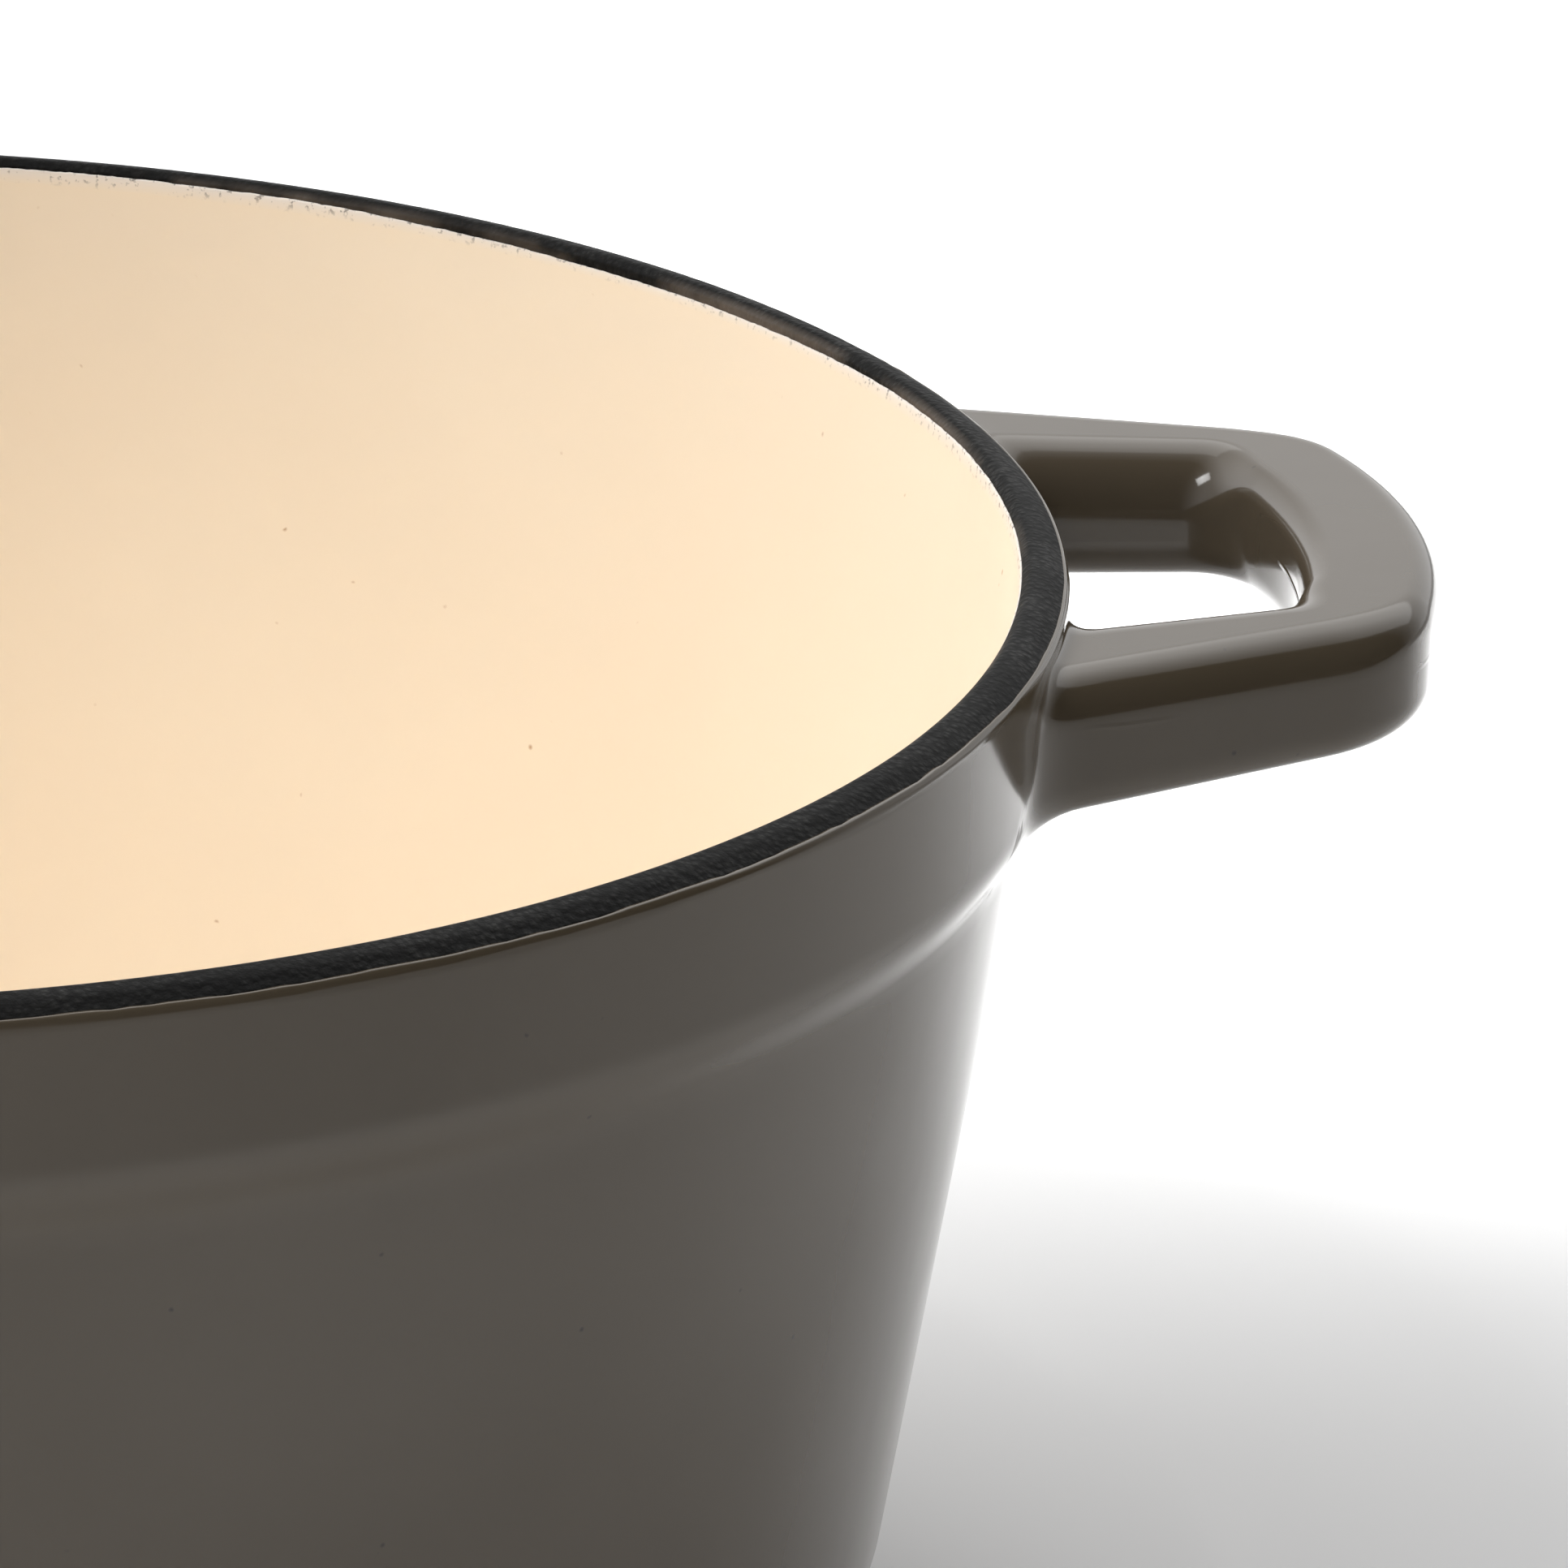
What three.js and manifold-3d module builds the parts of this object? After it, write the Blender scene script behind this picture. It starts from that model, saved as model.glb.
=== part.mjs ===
// Enamelled cast iron dutch oven: a round pot with two cast loop handles, and its loose lid beside it.
// Millimetres, +Z up. Origin: centre of the pot's flat base. The handles lie along X, the lid on the -X side.
import * as THREE from 'three';
import { mergeVertices } from 'three/addons/utils/BufferGeometryUtils.js';
import Module from 'manifold-3d';

const wasm = await Module();
wasm.setup();

// Driving dimensions of the pot.
const POT_HEIGHT = 122;
const RIM_OUTER_RADIUS = 132.2;
const RIM_INNER_RADIUS = 127.3;
const WALL_DRAFT = Math.tan(THREE.MathUtils.degToRad(8.25));
const COLLAR_HEIGHT = 17;
const LEDGE_HEIGHT = 4;
const LEDGE_WIDTH = 2.6;
const FLOOR_THICKNESS = 5.4;
const BASE_FILLET = 18;
const FLOOR_FILLET = 14;
const FOOT_HEIGHT = 0.3;
const FOOT_CHAMFER_WIDTH = 1;
const FOOT_CHAMFER_HEIGHT = 0.8;

// Enamel coats, and the clearance that keeps each coat apart from the iron under it.
const ENAMEL = 0.6;
const CLEARANCE = 0.3;
const IRON_INSET = ENAMEL + CLEARANCE;
const RIM_BARE_OUTSIDE = 1.4;
const RIM_BARE_INSIDE = 1.7;

// The rim's crest: a narrow flat ring where the lid sits, falling to a rounded shoulder on the outside.
const CREST_OUTER_RADIUS = 129.6;
const CREST_INNER_RADIUS = 128.5;
const SHOULDER_WIDTH = 0.7;
const SHOULDER_DROP = 0.8;

// Driving dimensions of a handle, seen from above and from the side.
const HANDLE_TIP = 170.5;
const HANDLE_TIP_RADIUS = 77;
const HANDLE_CORNER_RADIUS = 18;
const HANDLE_HALF_WIDTH_AT_RIM = 42.7;
const HANDLE_SIDE_ANGLE = THREE.MathUtils.degToRad(18.8);
const HANDLE_TOP_BELOW_RIM = 3.6;
const HANDLE_THICKNESS = 13.9;
const HANDLE_THINNING = 2.3;
const HANDLE_EDGE_RADIUS = 4;
const HANDLE_ROOT = 124;
const OPENING_END = 157.5;
const OPENING_HALF_WIDTH = 24.5;
const OPENING_SIDE_ANGLE = THREE.MathUtils.degToRad(12.5);
const OPENING_CORNER_RADIUS = 7;

// Driving dimensions of the lid, measured from the plane of its seat.
const LID_RADIUS = 133.6;
const LID_EDGE_HEIGHT = 7;
const LID_EDGE_ROUND = 2.5;
const LID_SHELF_WIDTH = 6;
const LID_SHOULDER_WIDTH = 8;
const LID_CROWN = 1.5;
const LID_SHOULDER_RADIUS = 112;
const LID_SHOULDER_HEIGHT = 14;
const LID_BOSS_RADIUS = 24;
const LID_BOSS_HEIGHT = 22;
const LID_WALL = 5;
const LID_RING_OUTER_RADIUS = 125.6;
const LID_RING_INNER_RADIUS = 121.4;
const LID_RING_DROP = 5;
const LID_RING_ROUND = 1;
const LID_TO_HANDLE = 20;

// Driving dimensions of the knob and its fastening.
const KNOB_RADIUS = 20;
const KNOB_HEIGHT = 27;
const KNOB_FOOT_HEIGHT = 1.5;
const KNOB_WAIST_RADIUS = 8.4;
const KNOB_WAIST_BOTTOM = 4;
const KNOB_WAIST_MIDDLE = 8;
const KNOB_WAIST_TOP = 12;
const KNOB_WAIST_FLARE = 2;
const KNOB_GRIP_HEIGHT = 16.5;
const KNOB_GRIP_ROUND = 3;
const KNOB_GRIP_SLOPE = 1.2;
const KNOB_BORE_SPARE = 1;
const SCREW_RADIUS = 3;
const SCREW_REACH = 12;
const SCREW_TIP_CHAMFER = 0.8;
const SCREW_HEAD_RADIUS = 6;
const SCREW_HEAD_HEIGHT = 3.4;
const SCREW_HEAD_SLOPE_WIDTH = 2;
const SCREW_HEAD_SLOPE_HEIGHT = 1.8;
const WASHER_RADIUS = 8;
const WASHER_THICKNESS = 1.2;
const GASKET_RADIUS = 11;
const GASKET_THICKNESS = 1.4;

// Fineness of the round stretches.
const TURN_STEPS = 48;
const SMALL_TURN_STEPS = 24;
const ARC_STEPS = 4;

const point = (r, z) => new THREE.Vector2(r, z);

// Materials, one function for each finish.
function finish(color, roughness, metalness) {
  return new THREE.MeshStandardMaterial({ color, roughness, metalness });
}

const blackIron = () => finish(0x2b2b28, 0.75, 0.3);
const taupeEnamel = () => finish(0x5a534b, 0.15, 0);
const creamEnamel = () => finish(0xfbe6c6, 0.2, 0);
const stainlessSteel = () => finish(0xc4c4c2, 0.3, 1);
const zincSteel = () => finish(0xa9abad, 0.45, 1);
const darkSilicone = () => finish(0x262626, 0.8, 0);

// Points on an arc about (r, z), from one angle to another, ends included. Angles in radians from +r.
function arc(r, z, radius, from, to, steps = ARC_STEPS) {
  const points = [];
  for (let i = 0; i <= steps; i += 1) {
    const angle = from + ((to - from) * i) / steps;
    points.push(point(r + radius * Math.cos(angle), z + radius * Math.sin(angle)));
  }
  return points;
}

// An open path moved sideways by a distance, to the left of its own direction, with mitred corners.
function offsetPath(path, distance) {
  const side = (a, b) => {
    const along = b.clone().sub(a).normalize();
    return point(-along.y, along.x);
  };
  return path.map((p, i) => {
    const before = side(path[Math.max(i - 1, 0)], path[Math.max(i, 1)]);
    const last = path.length - 1;
    const after = side(path[Math.min(i, last - 1)], path[Math.min(i + 1, last)]);
    const mitre = before.clone().add(after).normalize();
    return p.clone().addScaledVector(mitre, distance / mitre.dot(after));
  });
}

// A turned piece: the profile is in (radius, height), counter-clockwise, closed on itself or on the axis.
function turned(profile, steps = TURN_STEPS) {
  const closed = profile[0].x > 0 ? [...profile, profile[0].clone()] : profile;
  return new THREE.LatheGeometry(closed, steps).rotateX(Math.PI / 2);
}

// Welds a geometry's shared vertices and hands it to the boolean library as a solid.
function toSolid(geometry) {
  const bare = geometry.clone();
  bare.deleteAttribute('normal');
  bare.deleteAttribute('uv');
  const welded = mergeVertices(bare, 1e-5);
  const index = welded.index.array;
  const triVerts = [];
  for (let i = 0; i < index.length; i += 3) {
    const [a, b, c] = index.slice(i, i + 3);
    if (a !== b && b !== c && c !== a) triVerts.push(a, b, c);
  }
  const vertProperties = Float32Array.from(welded.attributes.position.array);
  return new wasm.Manifold(
    new wasm.Mesh({ numProp: 3, vertProperties, triVerts: Uint32Array.from(triVerts) }),
  );
}

function toGeometry(solid) {
  const mesh = solid.getMesh();
  const geometry = new THREE.BufferGeometry();
  geometry.setAttribute('position', new THREE.BufferAttribute(mesh.vertProperties, 3));
  geometry.setIndex(new THREE.BufferAttribute(mesh.triVerts, 1));
  geometry.computeVertexNormals();
  return geometry;
}

function named(name, geometry, material) {
  const mesh = new THREE.Mesh(geometry, material);
  mesh.name = name;
  return mesh;
}

// Centre radius of a fillet that rounds the corner between a floor and a drafted wall.
function filletCentre(wallRadiusAtFloor, fillet) {
  return wallRadiusAtFloor + WALL_DRAFT * fillet - fillet * Math.hypot(1, WALL_DRAFT);
}

const DRAFT_ANGLE = Math.atan(WALL_DRAFT);
const wallRadius = (rimRadius, z) => rimRadius - WALL_DRAFT * (POT_HEIGHT - z);

// Outside of the pot's enamel, from the foot up to the edge of the black rim.
function potOutside() {
  const centre = filletCentre(wallRadius(RIM_OUTER_RADIUS, FOOT_HEIGHT), BASE_FILLET);
  const collarFoot = POT_HEIGHT - COLLAR_HEIGHT;
  const ledgeFoot = collarFoot - LEDGE_HEIGHT;
  return [
    ...arc(centre, FOOT_HEIGHT + BASE_FILLET, BASE_FILLET, -Math.PI / 2, -DRAFT_ANGLE),
    point(wallRadius(RIM_OUTER_RADIUS, ledgeFoot), ledgeFoot),
    point(RIM_OUTER_RADIUS - LEDGE_WIDTH / 3, collarFoot - LEDGE_HEIGHT / 3),
    point(RIM_OUTER_RADIUS, collarFoot),
    point(RIM_OUTER_RADIUS, POT_HEIGHT - RIM_BARE_OUTSIDE - CLEARANCE),
  ];
}

// Inside of the pot's enamel, from the middle of the floor up to the edge of the black rim.
function potInside() {
  const centre = filletCentre(wallRadius(RIM_INNER_RADIUS, FLOOR_THICKNESS), FLOOR_FILLET);
  const top = POT_HEIGHT - RIM_BARE_INSIDE - CLEARANCE;
  return [
    point(0, FLOOR_THICKNESS),
    ...arc(centre, FLOOR_THICKNESS + FLOOR_FILLET, FLOOR_FILLET, -Math.PI / 2, -DRAFT_ANGLE),
    point(wallRadius(RIM_INNER_RADIUS, top), top),
  ];
}

// The black rim's top, from outside to inside.
function rimTop() {
  const inner = wallRadius(RIM_INNER_RADIUS, POT_HEIGHT - RIM_BARE_INSIDE);
  return [
    point(RIM_OUTER_RADIUS, POT_HEIGHT - RIM_BARE_OUTSIDE),
    point(RIM_OUTER_RADIUS - SHOULDER_WIDTH / 4, POT_HEIGHT - SHOULDER_DROP * 1.25),
    point(RIM_OUTER_RADIUS - SHOULDER_WIDTH, POT_HEIGHT - SHOULDER_DROP),
    point(CREST_OUTER_RADIUS, POT_HEIGHT),
    point(CREST_INNER_RADIUS, POT_HEIGHT),
    point((CREST_INNER_RADIUS + 2 * inner) / 3, POT_HEIGHT - RIM_BARE_INSIDE / 5),
    point(inner, POT_HEIGHT - RIM_BARE_INSIDE),
  ];
}

// Outline of a handle seen from above, as the half on the +Y side. It is drawn HANDLE_EDGE_RADIUS inside the
// true edge, because the rounded bevel puts that width back: a straight side, a corner, then the bowed tip.
function handleHalfOutline() {
  const normal = point(Math.sin(HANDLE_SIDE_ANGLE), Math.cos(HANDLE_SIDE_ANGLE));
  const along = point(Math.cos(HANDLE_SIDE_ANGLE), -Math.sin(HANDLE_SIDE_ANGLE));
  const reach = normal.dot(point(RIM_OUTER_RADIUS, HANDLE_HALF_WIDTH_AT_RIM));
  const tipCentre = HANDLE_TIP - HANDLE_TIP_RADIUS;
  // The corner arc's centre lies on a line beside the straight side, and on a circle about the tip's centre.
  const base = normal.clone().multiplyScalar(reach - HANDLE_CORNER_RADIUS);
  base.x -= tipCentre;
  const slide = base.dot(along);
  const swing = HANDLE_TIP_RADIUS - HANDLE_CORNER_RADIUS;
  const travel = Math.sqrt(swing ** 2 - base.lengthSq() + slide ** 2) - slide;
  const centre = base.addScaledVector(along, travel);
  const turn = centre.angle();
  const rootHalfWidth = (reach - HANDLE_EDGE_RADIUS - normal.x * HANDLE_ROOT) / normal.y;
  const cornerRadius = HANDLE_CORNER_RADIUS - HANDLE_EDGE_RADIUS;
  return [
    point(HANDLE_ROOT, rootHalfWidth),
    ...arc(centre.x + tipCentre, centre.y, cornerRadius, Math.PI / 2 - HANDLE_SIDE_ANGLE, turn, 5),
    point(HANDLE_TIP - HANDLE_EDGE_RADIUS, 0),
  ];
}

// Outline of the finger opening, as its +Y half, drawn HANDLE_EDGE_RADIUS outside its true edge.
function openingHalfOutline() {
  const end = OPENING_END + HANDLE_EDGE_RADIUS;
  const radius = OPENING_CORNER_RADIUS + HANDLE_EDGE_RADIUS;
  const slope = Math.tan(OPENING_SIDE_ANGLE);
  const rootHalfWidth = OPENING_HALF_WIDTH + HANDLE_EDGE_RADIUS;
  const halfWidth = (x) => rootHalfWidth - slope * (x - RIM_OUTER_RADIUS);
  const cornerHeight = halfWidth(end) + slope * radius - radius * Math.hypot(1, slope);
  return [
    point(HANDLE_ROOT, halfWidth(HANDLE_ROOT)),
    ...arc(end - radius, cornerHeight, radius, Math.PI / 2 - OPENING_SIDE_ANGLE, 0),
  ];
}

// A half outline and its mirror image, as one path from the +Y root round the tip to the -Y root.
function wholeOutline(half) {
  const lower = half.filter((p) => p.y > 0).map((p) => point(p.x, -p.y));
  return [...half, ...lower.reverse()];
}

// A loop handle on the +X side, its whole surface moved inwards by an inset. It is a U whose ends are buried
// in the pot's wall, and its underside rises to the tip.
function handleSolid(inset) {
  const outer = wholeOutline(handleHalfOutline());
  const inner = wholeOutline(openingHalfOutline());
  const plan = new THREE.Shape([...inner, ...outer.reverse()]);
  const bevel = HANDLE_EDGE_RADIUS - inset;
  const depth = HANDLE_THICKNESS - 2 * HANDLE_EDGE_RADIUS;
  const geometry = new THREE.ExtrudeGeometry(plan, {
    depth,
    bevelSize: bevel,
    bevelThickness: bevel,
    bevelSegments: 2,
  });
  geometry.translate(0, 0, POT_HEIGHT - HANDLE_TOP_BELOW_RIM - HANDLE_EDGE_RADIUS - depth);
  const middle = POT_HEIGHT - HANDLE_TOP_BELOW_RIM - HANDLE_THICKNESS / 2;
  const rise = HANDLE_THINNING / (HANDLE_TIP - RIM_OUTER_RADIUS);
  const position = geometry.attributes.position;
  for (let i = 0; i < position.count; i += 1) {
    const z = position.getZ(i);
    const outward = Math.max(position.getX(i) - RIM_OUTER_RADIUS, 0);
    if (z < middle) position.setZ(i, z + rise * outward);
  }
  return toSolid(geometry);
}

// Both handles of one inset. The second is the first turned half way round the pot.
function bothHandles(inset) {
  const right = handleSolid(inset);
  return right.add(right.rotate([0, 0, 180]));
}

// The pot's solid iron, before its inside is cut away, and the hollow that is cut from it.
function potIronBlock() {
  const outside = offsetPath(potOutside(), IRON_INSET);
  const foot = outside[0].x - CLEARANCE;
  return toSolid(turned([
    point(0, 0),
    point(foot - FOOT_CHAMFER_WIDTH, 0),
    point(foot, FOOT_CHAMFER_HEIGHT),
    point(foot, outside[0].y),
    ...outside,
    ...rimTop(),
    point(0, POT_HEIGHT - RIM_BARE_INSIDE),
  ]));
}

function potHollow() {
  const iron = offsetPath(potInside(), -IRON_INSET);
  const rimStep = POT_HEIGHT - RIM_BARE_INSIDE;
  const mouth = wallRadius(RIM_INNER_RADIUS, rimStep);
  return toSolid(turned([
    ...iron.slice(0, -1),
    point(iron.at(-1).x, rimStep),
    point(mouth, rimStep),
    point(mouth, POT_HEIGHT),
    point(0, POT_HEIGHT),
  ]));
}

function potCasting() {
  const solid = potIronBlock().add(bothHandles(IRON_INSET)).subtract(potHollow());
  return named('pot_casting', toGeometry(solid), blackIron());
}

// The outside coat: a thin turned shell joined to the skins of both handles, with the iron's room cut out.
function potExteriorEnamel() {
  const outside = potOutside();
  const back = offsetPath(outside, ENAMEL);
  const shell = toSolid(turned([...outside, ...back.reverse()]));
  const core = toSolid(turned([
    point(0, -FOOT_HEIGHT),
    ...offsetPath([point(outside[0].x, -FOOT_HEIGHT), ...outside], ENAMEL),
    point(RIM_OUTER_RADIUS - ENAMEL, POT_HEIGHT),
    point(0, POT_HEIGHT),
  ]));
  const solid = shell.add(bothHandles(0)).subtract(core).subtract(bothHandles(ENAMEL));
  return named('pot_exterior_enamel', toGeometry(solid), taupeEnamel());
}

function potInteriorEnamel() {
  const inside = potInside();
  const back = offsetPath(inside, -ENAMEL);
  return named('pot_interior_enamel', turned([...back, ...inside.reverse()]), creamEnamel());
}

// The low dome's point half way between the shoulder and the boss.
function domeMiddle(drop) {
  const height = (LID_SHOULDER_HEIGHT + LID_BOSS_HEIGHT) / 2 + LID_CROWN;
  return point((LID_SHOULDER_RADIUS + LID_BOSS_RADIUS) / 2, height - drop);
}

// Top of the lid's enamel, from its edge to the middle: a rim, a shoulder, a low dome and a flat boss.
function lidOutside() {
  const round = LID_EDGE_ROUND;
  return [
    point(LID_RADIUS, CLEARANCE + IRON_INSET),
    ...arc(LID_RADIUS - round, LID_EDGE_HEIGHT - round, round, 0, Math.PI / 2, 2),
    point(LID_SHOULDER_RADIUS + LID_SHELF_WIDTH, LID_EDGE_HEIGHT + LID_CROWN),
    point(LID_SHOULDER_RADIUS, LID_SHOULDER_HEIGHT),
    point(LID_SHOULDER_RADIUS - LID_SHOULDER_WIDTH, LID_SHOULDER_HEIGHT + LID_CROWN),
    domeMiddle(0),
    point(LID_BOSS_RADIUS, LID_BOSS_HEIGHT),
    point(SCREW_RADIUS + CLEARANCE, LID_BOSS_HEIGHT),
  ];
}

// Underside of the lid's enamel, from the screw hole out to the locating ring.
function lidInside() {
  const shoulderFoot = LID_SHOULDER_HEIGHT - LID_WALL + LID_RING_ROUND;
  const shelfFoot = LID_EDGE_HEIGHT - LID_WALL + LID_RING_ROUND;
  return [
    point(SCREW_RADIUS + CLEARANCE, LID_BOSS_HEIGHT - LID_WALL),
    point(LID_BOSS_RADIUS, LID_BOSS_HEIGHT - LID_WALL),
    domeMiddle(LID_WALL),
    point(LID_SHOULDER_RADIUS - LID_SHOULDER_WIDTH - LID_RING_ROUND, shoulderFoot),
    point(LID_RING_INNER_RADIUS - LID_WALL, shelfFoot),
    point(LID_RING_INNER_RADIUS, 0),
    point(LID_RING_INNER_RADIUS, CLEARANCE - LID_RING_DROP + LID_RING_ROUND),
  ];
}

function lidCasting() {
  const top = offsetPath(lidOutside(), IRON_INSET);
  const under = offsetPath(lidInside(), IRON_INSET);
  const hole = SCREW_RADIUS + 2 * CLEARANCE;
  top.at(-1).x = hole;
  under[0].x = hole;
  const round = LID_RING_ROUND;
  const ringFoot = -LID_RING_DROP;
  const edgeFoot = round - CLEARANCE / 2;
  const profile = [
    ...under,
    point(under.at(-1).x, ringFoot + round),
    point(LID_RING_INNER_RADIUS, ringFoot + round),
    point(LID_RING_INNER_RADIUS + round, ringFoot),
    point(LID_RING_OUTER_RADIUS - round, ringFoot),
    point(LID_RING_OUTER_RADIUS, ringFoot + round),
    point(LID_RING_OUTER_RADIUS, 0),
    point(LID_RADIUS - round, 0),
    point(LID_RADIUS, edgeFoot),
    point(top[0].x, edgeFoot),
    ...top,
  ];
  return named('lid_casting', turned(profile), blackIron());
}

function lidExteriorEnamel() {
  const top = lidOutside();
  const back = offsetPath(top, ENAMEL);
  back.at(-1).x = top.at(-1).x;
  return named('lid_exterior_enamel', turned([...top, ...back.reverse()]), taupeEnamel());
}

function lidInteriorEnamel() {
  const under = lidInside();
  const back = offsetPath(under, ENAMEL);
  back[0].x = under[0].x;
  return named('lid_interior_enamel', turned([...under, ...back.reverse()]), creamEnamel());
}

// The knob: a waisted foot that spreads into a flat grip, bored blind from below for the screw.
function lidKnob() {
  const bore = SCREW_RADIUS + CLEARANCE;
  const boreTop = SCREW_REACH + KNOB_BORE_SPARE;
  const round = KNOB_GRIP_ROUND;
  const flared = KNOB_WAIST_RADIUS + KNOB_WAIST_FLARE;
  const profile = [
    point(0, boreTop),
    point(bore, boreTop),
    point(bore, 0),
    point(GASKET_RADIUS, 0),
    point(GASKET_RADIUS, KNOB_FOOT_HEIGHT),
    point(KNOB_WAIST_RADIUS + KNOB_WAIST_FLARE / 2, KNOB_WAIST_BOTTOM),
    point(KNOB_WAIST_RADIUS, KNOB_WAIST_MIDDLE),
    point(flared, KNOB_WAIST_TOP),
    point(KNOB_RADIUS - KNOB_WAIST_FLARE * 2, KNOB_GRIP_HEIGHT),
    ...arc(KNOB_RADIUS - round, KNOB_HEIGHT - 2 * round, round, -Math.PI / 3, Math.PI / 3),
    point(KNOB_RADIUS - round - KNOB_WAIST_FLARE, KNOB_HEIGHT - KNOB_GRIP_SLOPE),
    point(0, KNOB_HEIGHT),
  ];
  return named('lid_knob', turned(profile, SMALL_TURN_STEPS), stainlessSteel());
}

function flatRing(name, outerRadius, thickness, material) {
  const bore = SCREW_RADIUS + CLEARANCE;
  const profile = [
    point(bore, 0),
    point(outerRadius, 0),
    point(outerRadius, thickness),
    point(bore, thickness),
  ];
  return named(name, turned(profile, SMALL_TURN_STEPS), material);
}

// The screw stands head down: its head bears on the washer, its shank ends inside the knob.
function knobScrew(shankLength) {
  const profile = [
    point(0, -SCREW_HEAD_HEIGHT),
    point(SCREW_HEAD_RADIUS - SCREW_HEAD_SLOPE_WIDTH, -SCREW_HEAD_HEIGHT),
    point(SCREW_HEAD_RADIUS, SCREW_HEAD_SLOPE_HEIGHT - SCREW_HEAD_HEIGHT),
    point(SCREW_HEAD_RADIUS, 0),
    point(SCREW_RADIUS, 0),
    point(SCREW_RADIUS, shankLength - SCREW_TIP_CHAMFER),
    point(SCREW_RADIUS - SCREW_TIP_CHAMFER, shankLength),
    point(0, shankLength),
  ];
  return named('knob_screw', turned(profile, SMALL_TURN_STEPS), zincSteel());
}

// The lid and everything that lifts with it, with the seat's plane at height 0.
function lid() {
  const group = new THREE.Group();
  const gasket = flatRing('knob_gasket', GASKET_RADIUS, GASKET_THICKNESS, darkSilicone());
  gasket.position.z = LID_BOSS_HEIGHT + CLEARANCE;
  const knob = lidKnob();
  knob.position.z = gasket.position.z + GASKET_THICKNESS + CLEARANCE;
  const washer = flatRing('knob_washer', WASHER_RADIUS, WASHER_THICKNESS, zincSteel());
  washer.position.z = LID_BOSS_HEIGHT - LID_WALL - CLEARANCE - WASHER_THICKNESS;
  const headSeat = washer.position.z - CLEARANCE;
  const screw = knobScrew(knob.position.z + SCREW_REACH - headSeat);
  screw.position.z = headSeat;
  group.add(lidCasting(), lidExteriorEnamel(), lidInteriorEnamel(), gasket, knob, washer, screw);
  return group;
}

const dutchOven = new THREE.Group();
dutchOven.add(potCasting(), potInteriorEnamel(), potExteriorEnamel());
const restingLid = lid();
restingLid.position.set(-(HANDLE_TIP + LID_TO_HANDLE + LID_RADIUS), 0, LID_RING_DROP);
dutchOven.add(restingLid);

export default dutchOven;
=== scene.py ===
import math

import bmesh
import bpy
import numpy as np
from mathutils import Euler, Matrix, Vector, noise


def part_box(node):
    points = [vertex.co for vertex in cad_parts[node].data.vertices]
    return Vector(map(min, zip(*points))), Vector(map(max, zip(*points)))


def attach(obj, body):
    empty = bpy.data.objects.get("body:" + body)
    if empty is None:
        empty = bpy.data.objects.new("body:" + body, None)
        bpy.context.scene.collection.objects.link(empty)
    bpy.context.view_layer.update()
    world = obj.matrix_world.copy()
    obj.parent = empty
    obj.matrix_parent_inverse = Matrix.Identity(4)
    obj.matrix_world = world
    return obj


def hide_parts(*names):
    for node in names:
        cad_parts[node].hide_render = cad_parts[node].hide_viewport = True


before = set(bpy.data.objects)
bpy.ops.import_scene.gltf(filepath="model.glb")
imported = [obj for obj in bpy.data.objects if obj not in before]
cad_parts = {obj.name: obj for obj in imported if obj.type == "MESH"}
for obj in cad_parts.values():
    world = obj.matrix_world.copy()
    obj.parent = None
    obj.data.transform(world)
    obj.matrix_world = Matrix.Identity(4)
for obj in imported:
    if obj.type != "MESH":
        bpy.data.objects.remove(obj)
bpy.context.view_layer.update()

MM = 0.001

# ---------------------------------------------------------------- pot casting
# One grey iron casting: round pot, upright collar and both loop handles. The ground rim and the foot disc
# are left bare of glass and burnt matt black; the sand's grain shows in them. All other iron is covered.
pot_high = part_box("pot_casting")[1]
POT_HEIGHT = pot_high.z
RIM_RADIUS = pot_high.y
WALL_DRAFT = math.tan(math.radians(8.25))
COLLAR_RADIUS = RIM_RADIUS + 0.05 * MM
CONE_RADIUS_AT_RIM = RIM_RADIUS + 0.15 * MM
LEDGE_TOP = 15.2 * MM
LEDGE_FOOT = 23.6 * MM        # both measured down from the rim
BASE_FILLET = 18 * MM
FLOOR_FILLET = 14 * MM
MOUTH_RADIUS = RIM_RADIUS - 4.9 * MM
FLOOR_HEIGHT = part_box("pot_interior_enamel")[0].z + 0.6 * MM
GLASS = 0.6 * MM
IRON_DEPTH = 0.75 * MM
WALL_STEPS = 480


def eased(t):
    """0 to 1 with a soft start and end."""
    t = min(max(t, 0.0), 1.0)
    return t * t * t * (t * (6 * t - 15) + 10)


def wall_radius(height):
    """Radius of the glazed outside wall: upright collar, sloping ledge, then the long cone."""
    depth = POT_HEIGHT - height
    cone = CONE_RADIUS_AT_RIM - WALL_DRAFT * depth
    share = min(max((depth - LEDGE_TOP) / (LEDGE_FOOT - LEDGE_TOP), 0.0), 1.0)
    return COLLAR_RADIUS + (cone - COLLAR_RADIUS) * share * share * (3 - 2 * share)


def arc(centre, radius, start, end, steps):
    """Points (radius, height) on an arc, ends included, angles in radians."""
    points = []
    for k in range(steps + 1):
        angle = start + (end - start) * k / steps
        points.append(Vector((centre[0] + radius * math.cos(angle), centre[1] + radius * math.sin(angle))))
    return points


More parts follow.
